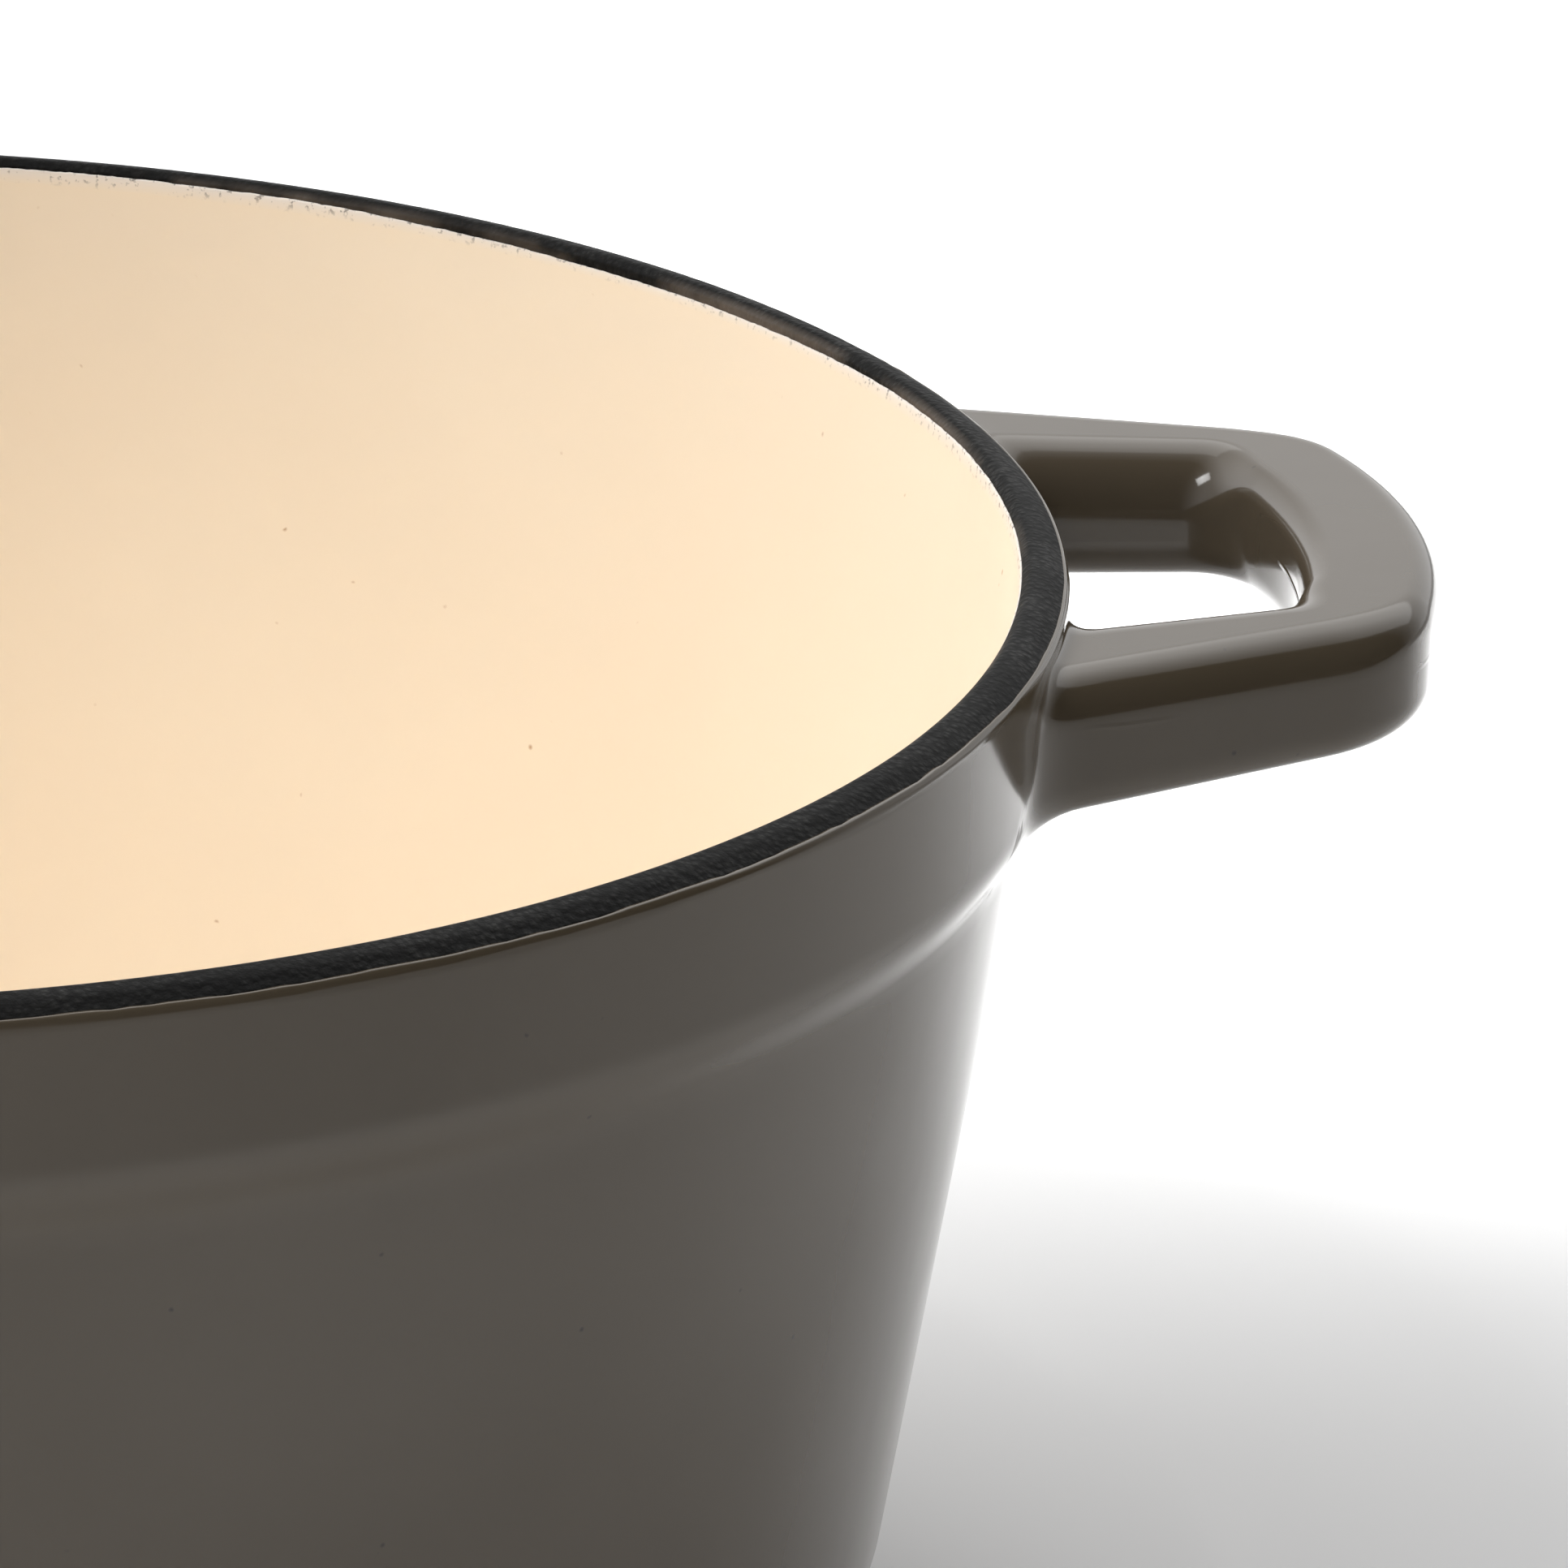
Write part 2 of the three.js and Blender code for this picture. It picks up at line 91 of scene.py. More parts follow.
def rounded(corners, steps=6):
    """A path through (radius, height, rounding) corners, with an arc in place of each corner."""
    path = []
    for i, (r, z, rounding) in enumerate(corners):
        here = Vector((r, z))
        if rounding == 0:
            path.append(here)
            continue
        back = (Vector(corners[i - 1][:2]) - here).normalized()
        onward = (Vector(corners[i + 1][:2]) - here).normalized()
        half = back.angle(onward) / 2
        centre = here + (back + onward).normalized() * rounding / math.sin(half)
        first = here + back * rounding / math.tan(half) - centre
        last = here + onward * rounding / math.tan(half) - centre
        start = math.atan2(first.y, first.x)
        sweep = (math.atan2(last.y, last.x) - start + math.pi) % (2 * math.pi) - math.pi
        path += arc(centre, rounding, start, start + sweep, steps)
    return path


def filled(path, spacing):
    """The same path with extra points, so that no stretch is longer than the spacing."""
    dense = [path[0]]
    for a, b in zip(path, path[1:]):
        cuts = max(1, math.ceil((b - a).length / spacing))
        dense += [a.lerp(b, k / cuts) for k in range(1, cuts + 1)]
    return dense


def moved_in(path, distance):
    """An open path moved sideways, to the left of its own direction."""
    moved = []
    for i, here in enumerate(path):
        along = path[min(i + 1, len(path) - 1)] - path[max(i - 1, 0)]
        moved.append(here + Vector((-along.y, along.x)).normalized() * distance)
    return moved


def piece_from(name, mesh_maker):
    """A new smooth-shaded object from a finished bmesh, with its normals turned outwards."""
    bmesh.ops.recalc_face_normals(mesh_maker, faces=mesh_maker.faces)
    mesh = bpy.data.meshes.new(name)
    mesh_maker.to_mesh(mesh)
    mesh_maker.free()
    mesh.shade_smooth()
    piece = bpy.data.objects.new(name, mesh)
    bpy.context.scene.collection.objects.link(piece)
    return piece


def turn(mesh_maker, profile, steps, centre=(0.0, 0.0), ripple=None):
    """Turns a (radius, height) profile about the axis. It closes on the axis, or on its own first point."""
    rings = []
    for r, z in profile:
        on_axis = r <= 0.01 * MM
        count = 1 if on_axis else steps
        ring = []
        for k in range(count):
            angle = 2 * math.pi * k / steps
            place = Vector((centre[0] + r * math.cos(angle), centre[1] + r * math.sin(angle), z))
            ring.append(mesh_maker.verts.new(place if ripple is None else place + ripple(place, angle)))
        rings.append(ring)
    open_pairs = list(zip(rings, rings[1:]))
    if len(rings[0]) > 1:
        open_pairs.append((rings[-1], rings[0]))
    for low, high in open_pairs:
        for k in range(steps):
            corners = [low[k % len(low)], low[(k + 1) % len(low)]]
            corners += [high[(k + 1) % len(high)], high[k % len(high)]]
            corners = [c for n, c in enumerate(corners) if c not in corners[:n]]
            if len(corners) > 2:
                mesh_maker.faces.new(corners)


# The handle's bar in plan: a straight side, a corner and a bowed tip, for its outer and its inner edge.
SECTION_ACROSS = 26
SECTION_DOWN = 24
SECTION_CORNER = 6
SIDE_RINGS = 12
CORNER_RINGS = 18
TIP_RINGS = 10
OUTER_EDGE = dict(half_width=43.0 * MM, slope=0.336, corner=17.7 * MM, end=170.8 * MM, bow=73 * MM)
INNER_EDGE = dict(half_width=23.8 * MM, slope=0.18, corner=8.0 * MM, end=156.8 * MM, bow=75 * MM)
HANDLE_TOP = POT_HEIGHT - 3.1 * MM
HANDLE_TOP_RISE = 0.03
HANDLE_UNDERSIDE = POT_HEIGHT - 17.5 * MM
HANDLE_UNDERSIDE_RISE = 0.06
SIDE_ROUNDING = dict(inner_top=7.3 * MM, outer_top=5.0 * MM, outer_bottom=3.8 * MM, inner_bottom=4.8 * MM)
TIP_ROUNDING = dict(inner_top=3.0 * MM, outer_top=3.2 * MM, outer_bottom=3.8 * MM, inner_bottom=4.0 * MM)


def plan_edge(half_width, slope, corner, end, bow, inset):
    """Half of one edge of the bar seen from above, from the rim to the middle of the tip."""
    half_width, corner, end, bow = half_width + inset, corner + inset, end + inset, bow + inset
    normal = np.array([math.sin(slope), math.cos(slope)])
    along = np.array([math.cos(slope), -math.sin(slope)])
    start = np.array([RIM_RADIUS, half_width])
    bow_centre = np.array([end - bow, 0.0])
    offset = normal * (normal @ start - corner) - bow_centre
    slide = offset @ along
    offset = offset + along * (math.sqrt((bow - corner) ** 2 - offset @ offset + slide * slide) - slide)
    turn_end = math.atan2(offset[1], offset[0])
    turn_start = math.pi / 2 - slope
    centre = offset + bow_centre
    points = [start + (centre + normal * corner - start) * k / SIDE_RINGS for k in range(SIDE_RINGS)]
    for k in range(CORNER_RINGS):
        angle = turn_start + (turn_end - turn_start) * k / CORNER_RINGS
        points.append(centre + corner * np.array([math.cos(angle), math.sin(angle)]))
    for k in range(TIP_RINGS + 1):
        angle = turn_end * (1 - k / TIP_RINGS)
        points.append(bow_centre + bow * np.array([math.cos(angle), math.sin(angle)]))
    return points


def bar_section(width, height, rounding):
    """Points (across, up) round the bar's section, from the middle of its inner top corner."""
    r = rounding
    centres = [
        (r["inner_top"], height - r["inner_top"], r["inner_top"]),
        (width - r["outer_top"], height - r["outer_top"], r["outer_top"]),
        (width - r["outer_bottom"], r["outer_bottom"], r["outer_bottom"]),
        (r["inner_bottom"], r["inner_bottom"], r["inner_bottom"]),
    ]
    points = []
    for side in range(4):
        straight = (SECTION_ACROSS, SECTION_DOWN)[side % 2] - 2 * SECTION_CORNER
        facing = math.radians(90 - 90 * side)
        here, there = centres[side], centres[(side + 1) % 4]
        leave = arc(here, here[2], facing + math.pi / 4, facing, SECTION_CORNER)
        arrive = arc(there, there[2], facing, facing - math.pi / 4, SECTION_CORNER)
        points += leave[:-1]
        points += [leave[-1].lerp(arrive[0], k / straight) for k in range(straight)]
        points += arrive[:-1]
    return np.array([tuple(p) for p in points])


def bar_rings(inset):
    """Rings of points round one half of the bar, from the rim to the middle of the tip."""
    rings = []
    edges = zip(plan_edge(inset=-inset, **OUTER_EDGE), plan_edge(inset=inset, **INNER_EDGE))
    for number, (outer, inner) in enumerate(edges):
        tip = eased((number - SIDE_RINGS) / CORNER_RINGS)
        rounding = {}
        for edge, size in SIDE_ROUNDING.items():
            rounding[edge] = size * (1 - tip) + TIP_ROUNDING[edge] * tip - inset
        middle = (outer[0] + inner[0]) / 2 - RIM_RADIUS
        top = HANDLE_TOP + HANDLE_TOP_RISE * middle - inset
        bottom = HANDLE_UNDERSIDE + HANDLE_UNDERSIDE_RISE * middle + inset
        width = np.linalg.norm(outer - inner)
        section = bar_section(width, top - bottom, rounding)
        plan = inner + (outer - inner) * (section[:, :1] / width)
        tilt = np.where(section[:, 1] > (top - bottom) / 2, HANDLE_TOP_RISE, HANDLE_UNDERSIDE_RISE)
        height = bottom + section[:, 1] + tilt * (plan[:, 0] - RIM_RADIUS - middle)
        rings.append(np.column_stack([plan, height]))
    return np.array(rings)


def both_halves(rings):
    """A half bar and its mirror image, as one run of rings from the +Y root to the -Y root."""
    return np.concatenate([rings, rings[-2::-1] * np.array([1, -1, 1])])


def skin_rings(mesh_maker, rings, half_turn):
    """Adds a run of rings as a tube of quads, for the handle on +X or, after half a turn, on -X."""
    facing = -1 if half_turn else 1
    made = [[mesh_maker.verts.new((facing * x, facing * y, z)) for x, y, z in ring] for ring in rings]
    for near, far in zip(made, made[1:]):
        for k in range(len(near)):
            following = (k + 1) % len(near)
            mesh_maker.faces.new((near[k], near[following], far[following], far[k]))
    return made


# The iron's section, from the middle of the foot up the outside, over the rim's crest and down the inside.
CREST_RADIUS = RIM_RADIUS - 3.85 * MM
GRAIN_STEPS = 1440
base_centre = wall_radius(0) + WALL_DRAFT * BASE_FILLET - BASE_FILLET * math.hypot(1, WALL_DRAFT)
floor_wall = MOUTH_RADIUS - WALL_DRAFT * (POT_HEIGHT - FLOOR_HEIGHT)
floor_centre = floor_wall + WALL_DRAFT * FLOOR_FILLET - FLOOR_FILLET * math.hypot(1, WALL_DRAFT)
DRAFT_ANGLE = math.atan(WALL_DRAFT)


def mouth_radius(height):
    """Radius of the glazed inside wall."""
    return MOUTH_RADIUS - WALL_DRAFT * (POT_HEIGHT - height)


iron_profile = [Vector((0, 0))]
iron_profile += rounded([(0, 0, 0), (base_centre - 0.4 * MM, 0, 0.5 * MM), (base_centre, 1.2 * MM, 0)])[1:]
iron_profile += arc((base_centre, BASE_FILLET), BASE_FILLET - IRON_DEPTH, -math.pi / 2, -DRAFT_ANGLE, 12)
iron_profile += [Vector((wall_radius(POT_HEIGHT - d * MM) - IRON_DEPTH, POT_HEIGHT - d * MM))
                 for d in (80, 60, 40, 24, 21, 19, 17, 10, 3.2)]
iron_profile += filled(rounded([
    (RIM_RADIUS - IRON_DEPTH, POT_HEIGHT - 2.6 * MM, 0),
    (RIM_RADIUS - 0.42 * MM, POT_HEIGHT - 1.9 * MM, 0.1 * MM),
    (RIM_RADIUS - 0.42 * MM, POT_HEIGHT - 1.3 * MM, 0.5 * MM),
    (RIM_RADIUS - 2.1 * MM, POT_HEIGHT - 0.22 * MM, 2.5 * MM),
    (CREST_RADIUS, POT_HEIGHT + 0.1 * MM, 1.0 * MM),
    (mouth_radius(POT_HEIGHT) + 0.15 * MM, POT_HEIGHT - 0.7 * MM, 0.5 * MM),
    (mouth_radius(POT_HEIGHT) + 0.1 * MM, POT_HEIGHT - 2.6 * MM, 0.2 * MM),
    (mouth_radius(POT_HEIGHT) + IRON_DEPTH, POT_HEIGHT - 3.0 * MM, 0),
], steps=5), 0.45 * MM)
iron_profile += [Vector((mouth_radius(POT_HEIGHT - d * MM) + IRON_DEPTH, POT_HEIGHT - d * MM))
                 for d in (5, 30, 60, 90)]
iron_profile += arc((floor_centre, FLOOR_HEIGHT + FLOOR_FILLET), FLOOR_FILLET + IRON_DEPTH,
                    -DRAFT_ANGLE, -math.pi / 2, 10)
iron_profile += [Vector((0, FLOOR_HEIGHT - IRON_DEPTH))]

GRAIN_SIZE = 1.1 * MM
GRAIN_DEPTH = 0.022 * MM


def cast_grain(place, angle):
    """Sand grain of the bare rim: small bumps that fade out where the glass covers the iron."""
    bare = eased((place.z - (POT_HEIGHT - 2.5 * MM)) / (1.2 * MM))
    if bare == 0:
        return Vector((0, 0, 0))
    bump = noise.noise(place / GRAIN_SIZE)
    outward = Vector((math.cos(angle), math.sin(angle), 1.2)).normalized()
    return outward * bump * bare * GRAIN_DEPTH


build = bmesh.new()
turn(build, iron_profile, GRAIN_STEPS, ripple=cast_grain)
core = bar_rings(GLASS + 0.15 * MM)
core_root = core[0] - (core[1] - core[0]) * (3 * MM / np.linalg.norm(core[1, 0] - core[0, 0]))
for half_turn in (False, True):
    tube = skin_rings(build, both_halves(np.concatenate([core_root[None], core])), half_turn)
    build.faces.new(tube[0])
    build.faces.new(tube[-1])
pot_iron = piece_from("pot_iron", build)


def wire(tree, kind, settings=None, **inputs):
    """Adds a shader node. Inputs go by name, or as i0, i1 by number: a socket to link from, or a value."""
    made = tree.nodes.new(kind)
    for name, value in (settings or {}).items():
        setattr(made, name, value)
    for name, value in inputs.items():
        numbered = name[0] == "i" and name[1:].isdigit()
        socket = made.inputs[int(name[1:]) if numbered else name.replace("_", " ")]
        if isinstance(value, bpy.types.NodeSocket):
            tree.links.new(value, socket)
        else:
            socket.default_value = value
    return made


def blank_material(name):
    """A new node material and its Principled shader."""
    material = bpy.data.materials.new(name)
    material.use_nodes = True
    return material, material.node_tree, material.node_tree.nodes["Principled BSDF"]


def new_effect(name, inputs, outputs):
    """An empty shader node group with named sockets: inputs as {name: default}, outputs as names."""
    group = bpy.data.node_groups.new(name, "ShaderNodeTree")
    for label, default in inputs.items():
        socket = group.interface.new_socket(label, in_out="INPUT", socket_type="NodeSocketFloat")
        socket.default_value = default
    for label in outputs:
        group.interface.new_socket(label, in_out="OUTPUT", socket_type="NodeSocketFloat")
    return group, group.nodes.new("NodeGroupInput").outputs, group.nodes.new("NodeGroupOutput").inputs


def effect(tree, group, **inputs):
    """Places a node group in a material with its own values."""
    return wire(tree, "ShaderNodeGroup", {"node_tree": group}, **inputs).outputs


def mapped(tree, value, low, high, to_low, to_high):
    """A value stretched from one range to another and held inside it."""
    return wire(tree, "ShaderNodeMapRange", None, Value=value, From_Min=low, From_Max=high,
                To_Min=to_low, To_Max=to_high).outputs[0]


def blended(tree, factor, first, second):
    """A colour mix of two colours or colour sockets."""
    mix = wire(tree, "ShaderNodeMix", {"data_type": "RGBA"}, i0=factor, i6=first, i7=second)
    return mix.outputs[2]


def computed(tree, operation, *values):
    """The result of a math node on sockets or numbers."""
    numbered = {f"i{n}": value for n, value in enumerate(values)}
    return wire(tree, "ShaderNodeMath", {"operation": operation}, **numbered).outputs[0]


def object_place(tree):
    """Where a shaded point lies, in metres."""
    return wire(tree, "ShaderNodeTexCoord").outputs["Object"]


def clouded(tree, place, scale, detail, distortion=0.0):
    """Soft noise from 0 to 1, finer with a greater scale."""
    return wire(tree, "ShaderNodeTexNoise", None, Vector=place, Scale=scale, Detail=detail,
                Distortion=distortion).outputs[0]


def raise_surface(tree, shader, height, strength, distance):
    """Shades a finish as if it were raised by a height."""
    bump = wire(tree, "ShaderNodeBump", None, Strength=strength, Distance=distance, Height=height)
    tree.links.new(bump.outputs[0], shader.inputs["Normal"])


def from_axis(tree, place):
    """Distance of a place from the pot's axis."""
    flat = wire(tree, "ShaderNodeVectorMath", {"operation": "MULTIPLY"}, i0=place, i1=(1, 1, 0)).outputs[0]
    return wire(tree, "ShaderNodeVectorMath", {"operation": "LENGTH"}, i0=flat).outputs["Value"]


# Sand-cast grain: packed rounded grains with finer grit between them, sizes in metres.
grain_group, grain_in, grain_out = new_effect(
    "cast grain", {"Grain Size": 0.0007, "Grit Size": 0.00025}, ("Height", "Tone"))
place = object_place(grain_group)
grain_scale = computed(grain_group, "DIVIDE", 1.0, grain_in["Grain Size"])
grit_scale = computed(grain_group, "DIVIDE", 1.0, grain_in["Grit Size"])
cells = wire(grain_group, "ShaderNodeTexVoronoi", {"feature": "SMOOTH_F1"}, Vector=place,
             Scale=grain_scale, Smoothness=0.6)
grit = clouded(grain_group, place, grit_scale, 3.0)
patches = clouded(grain_group, place, 120.0, 4.0)
mound = mapped(grain_group, cells.outputs["Distance"], 0.0, 0.8, 1.0, 0.0)
height = computed(grain_group, "MULTIPLY_ADD", grit, 0.7, mound)
tone = computed(grain_group, "MULTIPLY", height, patches)
grain_group.links.new(height, grain_out["Height"])
grain_group.links.new(tone, grain_out["Tone"])


def black_iron():
    """Burnt black iron: near black and matt, with paler crests and a grey haze of thin glass on the lip."""
    material, tree, shader = blank_material("black iron")
    grain = effect(tree, grain_group, Grain_Size=0.0007, Grit_Size=0.00025)
    dark = (0.001, 0.001, 0.0007, 1)
    pale = (0.007, 0.0066, 0.005, 1)
    colour = blended(tree, mapped(tree, grain["Tone"], 0.4, 0.9, 0.0, 1.0), dark, pale)
    place = object_place(tree)
    away = from_axis(tree, place)
    lip = mapped(tree, away, MOUTH_RADIUS + 0.9 * MM, MOUTH_RADIUS + 0.2 * MM, 0.0, 1.0)
    streaks = mapped(tree, clouded(tree, place, 38.0, 4.0), 0.5, 0.62, 0.0, 0.8)
    haze = computed(tree, "MULTIPLY", lip, streaks)
    colour = blended(tree, haze, colour, (0.115, 0.095, 0.078, 1))
    tree.links.new(colour, shader.inputs["Base Color"])
    tree.links.new(mapped(tree, grain["Tone"], 0.3, 0.9, 0.68, 0.48), shader.inputs["Roughness"])
    shader.inputs["Specular IOR Level"].default_value = 0.15
    raise_surface(tree, shader, grain["Height"], 0.6, 0.00016)
    return material


iron_finish = black_iron()
pot_iron.data.materials.append(iron_finish)
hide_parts("pot_casting")
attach(pot_iron, "pot")

# ---------------------------------------------------- pot's outside enamel
# Grey taupe glass, fused on in one coat from the edge of the black rim down round the base corner, and all
# round both handles. It pools to soft fillets where the handles leave the wall and thins out below the rim.
COAT_TOP = 1.25 * MM
WINDOW_TOP = 1.5 * MM
WINDOW_COLUMN = 6
FLARE_RINGS = 8
ROOT_STEPS = 14     # each step slides the bar's root nearer to the wall
ROOT_SLANT = 0.9
FLARE = dict(up=1.5 * MM, down=5.0 * MM, outward=5.2 * MM, inward=5.5 * MM)
FLARE_RUN = dict(up=2.6 * MM, down=5.0 * MM, outward=5.5 * MM, inward=8.0 * MM)
BLEND_RINGS = 3
RAGGED = 0.22 * MM
THINNED = 0.26 * MM

window_depths = [WINDOW_TOP + 0.4 * MM * k for k in range(5)]
window_depths += [6.6 * MM, 10.6 * MM]
window_depths += [(14.6 + 0.55 * k) * MM for k in range(16)]
window_depths += [(24.8 + 1.9 * k) * MM for k in range(2)]
bead_rows = [(-0.34, -0.06), (-0.16, -0.03), (-0.05, 0.03), (0.0, 0.12)]    # out and down in mm
wall_rows = [Vector((RIM_RADIUS + out * MM, POT_HEIGHT - COAT_TOP - down * MM)) for out, down in bead_rows]
first_window_row = len(wall_rows)
wall_rows += [Vector((wall_radius(POT_HEIGHT - d), POT_HEIGHT - d)) for d in window_depths]
last_window_row = len(wall_rows) - 1
cone_end = BASE_FILLET * (1 - math.sin(DRAFT_ANGLE))
cone_start = wall_rows[-1].y
cone_rows = 22
wall_rows += [Vector((wall_radius(z), z)) for z in
              (cone_start + (cone_end - cone_start) * k / cone_rows for k in range(1, cone_rows))]
wall_rows += arc((base_centre, BASE_FILLET), BASE_FILLET - 0.35 * MM, -DRAFT_ANGLE, -math.pi / 2 + 0.02, 14)


def on_wall(angle, height):
    """The place on the outside wall at an angle and a height."""
    r = wall_radius(height)
    return np.array([r * math.cos(angle), r * math.sin(angle), height])


def flare_rings(rings):
    """Rings that spread from the bar's root on to the wall, starting at the wall, and the wall's own loop."""
    along = rings[SIDE_RINGS - 1] - rings[0]
    along /= np.linalg.norm(along, axis=1)[:, None]
    root = rings[0].copy()
    for _ in range(ROOT_STEPS):
        gap = np.hypot(root[:, 0], root[:, 1]) - np.array([wall_radius(z) for z in root[:, 2]])
        root -= along * gap[:, None] / ROOT_SLANT
    flat = np.column_stack([np.arctan2(root[:, 1], root[:, 0]), root[:, 2] / RIM_RADIUS])
    tangent = np.roll(flat, -1, 0) - np.roll(flat, 1, 0)
    outward = np.column_stack([-tangent[:, 1], tangent[:, 0]])
    outward /= np.linalg.norm(outward, axis=1)[:, None]
    sideways = np.where(outward[:, 0] > 0, FLARE["outward"], FLARE["inward"])
    upright = np.where(outward[:, 1] > 0, FLARE["up"], FLARE["down"])
    reach = outward * np.column_stack([sideways, upright])
    loop = flat + reach / RIM_RADIUS
    run_sideways = np.where(outward[:, 0] > 0, FLARE_RUN["outward"], FLARE_RUN["inward"])
    run_upright = np.where(outward[:, 1] > 0, FLARE_RUN["up"], FLARE_RUN["down"])
    run = np.linalg.norm(outward * np.column_stack([run_sideways, run_upright]), axis=1)
    foot = np.array([on_wall(a, z * RIM_RADIUS) for a, z in loop])
    start = root + along * run[:, None]
    flare = []
    for k in range(FLARE_RINGS):
        t = 1 - k / FLARE_RINGS
        flare.append((1 - t) ** 2 * start + 2 * t * (1 - t) * root + t * t * foot)
    side = [start + (rings[SIDE_RINGS] - start) * k / SIDE_RINGS for k in range(SIDE_RINGS)]
    return np.array(flare + side + list(rings[SIDE_RINGS:])), loop


def window_loop(side):
    """(row, column) round the opening left in the wall's grid, in the order of the bar's section."""
    inner = side * WINDOW_COLUMN
    outer = side * (WINDOW_COLUMN + SECTION_ACROSS)
    top, bottom = first_window_row, last_window_row
    loop = [(top, inner + side * k) for k in range(SECTION_ACROSS)]
    loop += [(top + k, outer) for k in range(SECTION_DOWN)]
    loop += [(bottom, outer - side * k) for k in range(SECTION_ACROSS)]
    loop += [(bottom - k, inner) for k in range(SECTION_DOWN)]
    return loop


def thinned(angle, depth):
    """How far the glass lies back from the wall where it thins out, over a wandering strip below the rim."""
    spot = Vector((math.cos(angle), math.sin(angle), 7))
    strip = (1.1 + 0.9 * noise.noise(spot * 5) + 0.25 * noise.noise(spot * 40)) * MM
    return THINNED * max(0.0, 1 - max(depth - COAT_TOP, 0.0) / strip)


def wall_ripple(angle, row):
    """The coat's top edge is a little ragged, where the glass was wiped back from the rim."""
    spot = Vector((math.cos(angle), math.sin(angle), 0))
    slow = noise.noise(spot * 9)
    quick = noise.noise(spot * 60 + Vector((5, 0, 0)))
    fade = max(0.0, 1 - row / 3)
    return (0.6 * slow + 0.7 * quick) * RAGGED * fade


build = bmesh.new()
step_angle = 2 * math.pi / WALL_STEPS
grid = []
for row, (r, z) in enumerate(wall_rows):
    ring = []
    for column in range(WALL_STEPS):
        angle = step_angle * column
        lift = wall_ripple(angle, row) if row < first_window_row else 0
        r_here = r - thinned(angle, POT_HEIGHT - z)
        ring.append(build.verts.new((r_here * math.cos(angle), r_here * math.sin(angle), z + lift)))
    grid.append(ring)
half_round = WALL_STEPS // 2
cut_columns = set()
for base in (0, half_round):
    for k in range(WINDOW_COLUMN, WINDOW_COLUMN + SECTION_ACROSS):
        cut_columns |= {(base + k) % WALL_STEPS, (base - k - 1) % WALL_STEPS}
for row in range(len(grid) - 1):
    for column in range(WALL_STEPS):
        if first_window_row <= row < last_window_row and column in cut_columns:
            continue
        after = (column + 1) % WALL_STEPS
        build.faces.new((grid[row][column], grid[row + 1][column], grid[row + 1][after], grid[row][after]))

half_rings, wall_loop = flare_rings(bar_rings(0))
handle_rings = both_halves(half_rings)
for half_turn in (False, True):
    tube = skin_rings(build, handle_rings, half_turn)
    base = half_round if half_turn else 0
    for side, ring in ((1, tube[0]), (-1, tube[-1])):
        cells_round = window_loop(side)
        border = [grid[row][(base + column) % WALL_STEPS] for row, column in cells_round]
        layers = [border]
        for k in range(1, BLEND_RINGS):
            layer = []
            for (row, column), (angle, height) in zip(cells_round, wall_loop):
                t = k / BLEND_RINGS
                at = side * (abs(column) * step_angle * (1 - t) + angle * t) + step_angle * base
                up = wall_rows[row].y * (1 - t) + height * RIM_RADIUS * t
                layer.append(build.verts.new(on_wall(at, up)))
            layers.append(layer)
        layers.append(ring)
        for near, far in zip(layers, layers[1:]):
            for k in range(len(near)):
                following = (k + 1) % len(near)
                build.faces.new((near[k], near[following], far[following], far[k]))
spare = [v for v in build.verts if not v.link_faces]
bmesh.ops.delete(build, geom=spare, context="VERTS")
pot_outside_enamel = piece_from("pot_outside_enamel", build)
coat = pot_outside_enamel.modifiers.new("coat", "SOLIDIFY")
coat.thickness = GLASS
coat.offset = -1

# Fused glass: slow orange-peel waves, clouds of tone and a few pinholes. Sizes in metres.
glass_sizes = {"Wave Size": 0.006, "Cloud Size": 0.05, "Speck Size": 0.002}
glass_group, glass_in, glass_out = new_effect("fused glass", glass_sizes, ("Height", "Cloud", "Specks"))
place = object_place(glass_group)
scales = {}
for label in glass_sizes:
    scales[label] = computed(glass_group, "DIVIDE", 1.0, glass_in[label])
waves = clouded(glass_group, place, scales["Wave Size"], 1.5)
swell = clouded(glass_group, place, scales["Cloud Size"], 2.0)
spots = wire(glass_group, "ShaderNodeTexVoronoi", None, Vector=place, Scale=scales["Speck Size"])
chosen = clouded(glass_group, place, 400.0, 0.0)
dot = mapped(glass_group, spots.outputs["Distance"], 0.03, 0.10, 1.0, 0.0)
rare = mapped(glass_group, chosen, 0.68, 0.74, 0.0, 1.0)
specks = computed(glass_group, "MULTIPLY", dot, rare)
height = computed(glass_group, "MULTIPLY_ADD", swell, 3.0, waves)
glass_group.links.new(height, glass_out["Height"])
glass_group.links.new(swell, glass_out["Cloud"])
glass_group.links.new(specks, glass_out["Specks"])

# Handling: faint wiped smears and fingertips that only dull the gloss.
smear_group, smear_in, smear_out = new_effect("handling smears", {"Smear Size": 0.03}, ("Dulling",))
place = object_place(smear_group)
smear_scale = computed(smear_group, "DIVIDE", 1.0, smear_in["Smear Size"])
wiped = clouded(smear_group, place, smear_scale, 5.0, distortion=0.3)
smear = mapped(smear_group, wiped, 0.48, 0.72, 0.0, 1.0)
smear_group.links.new(smear, smear_out["Dulling"])

PARTING = HANDLE_TOP - 4.6 * MM
RIDGE = 0.35 * MM


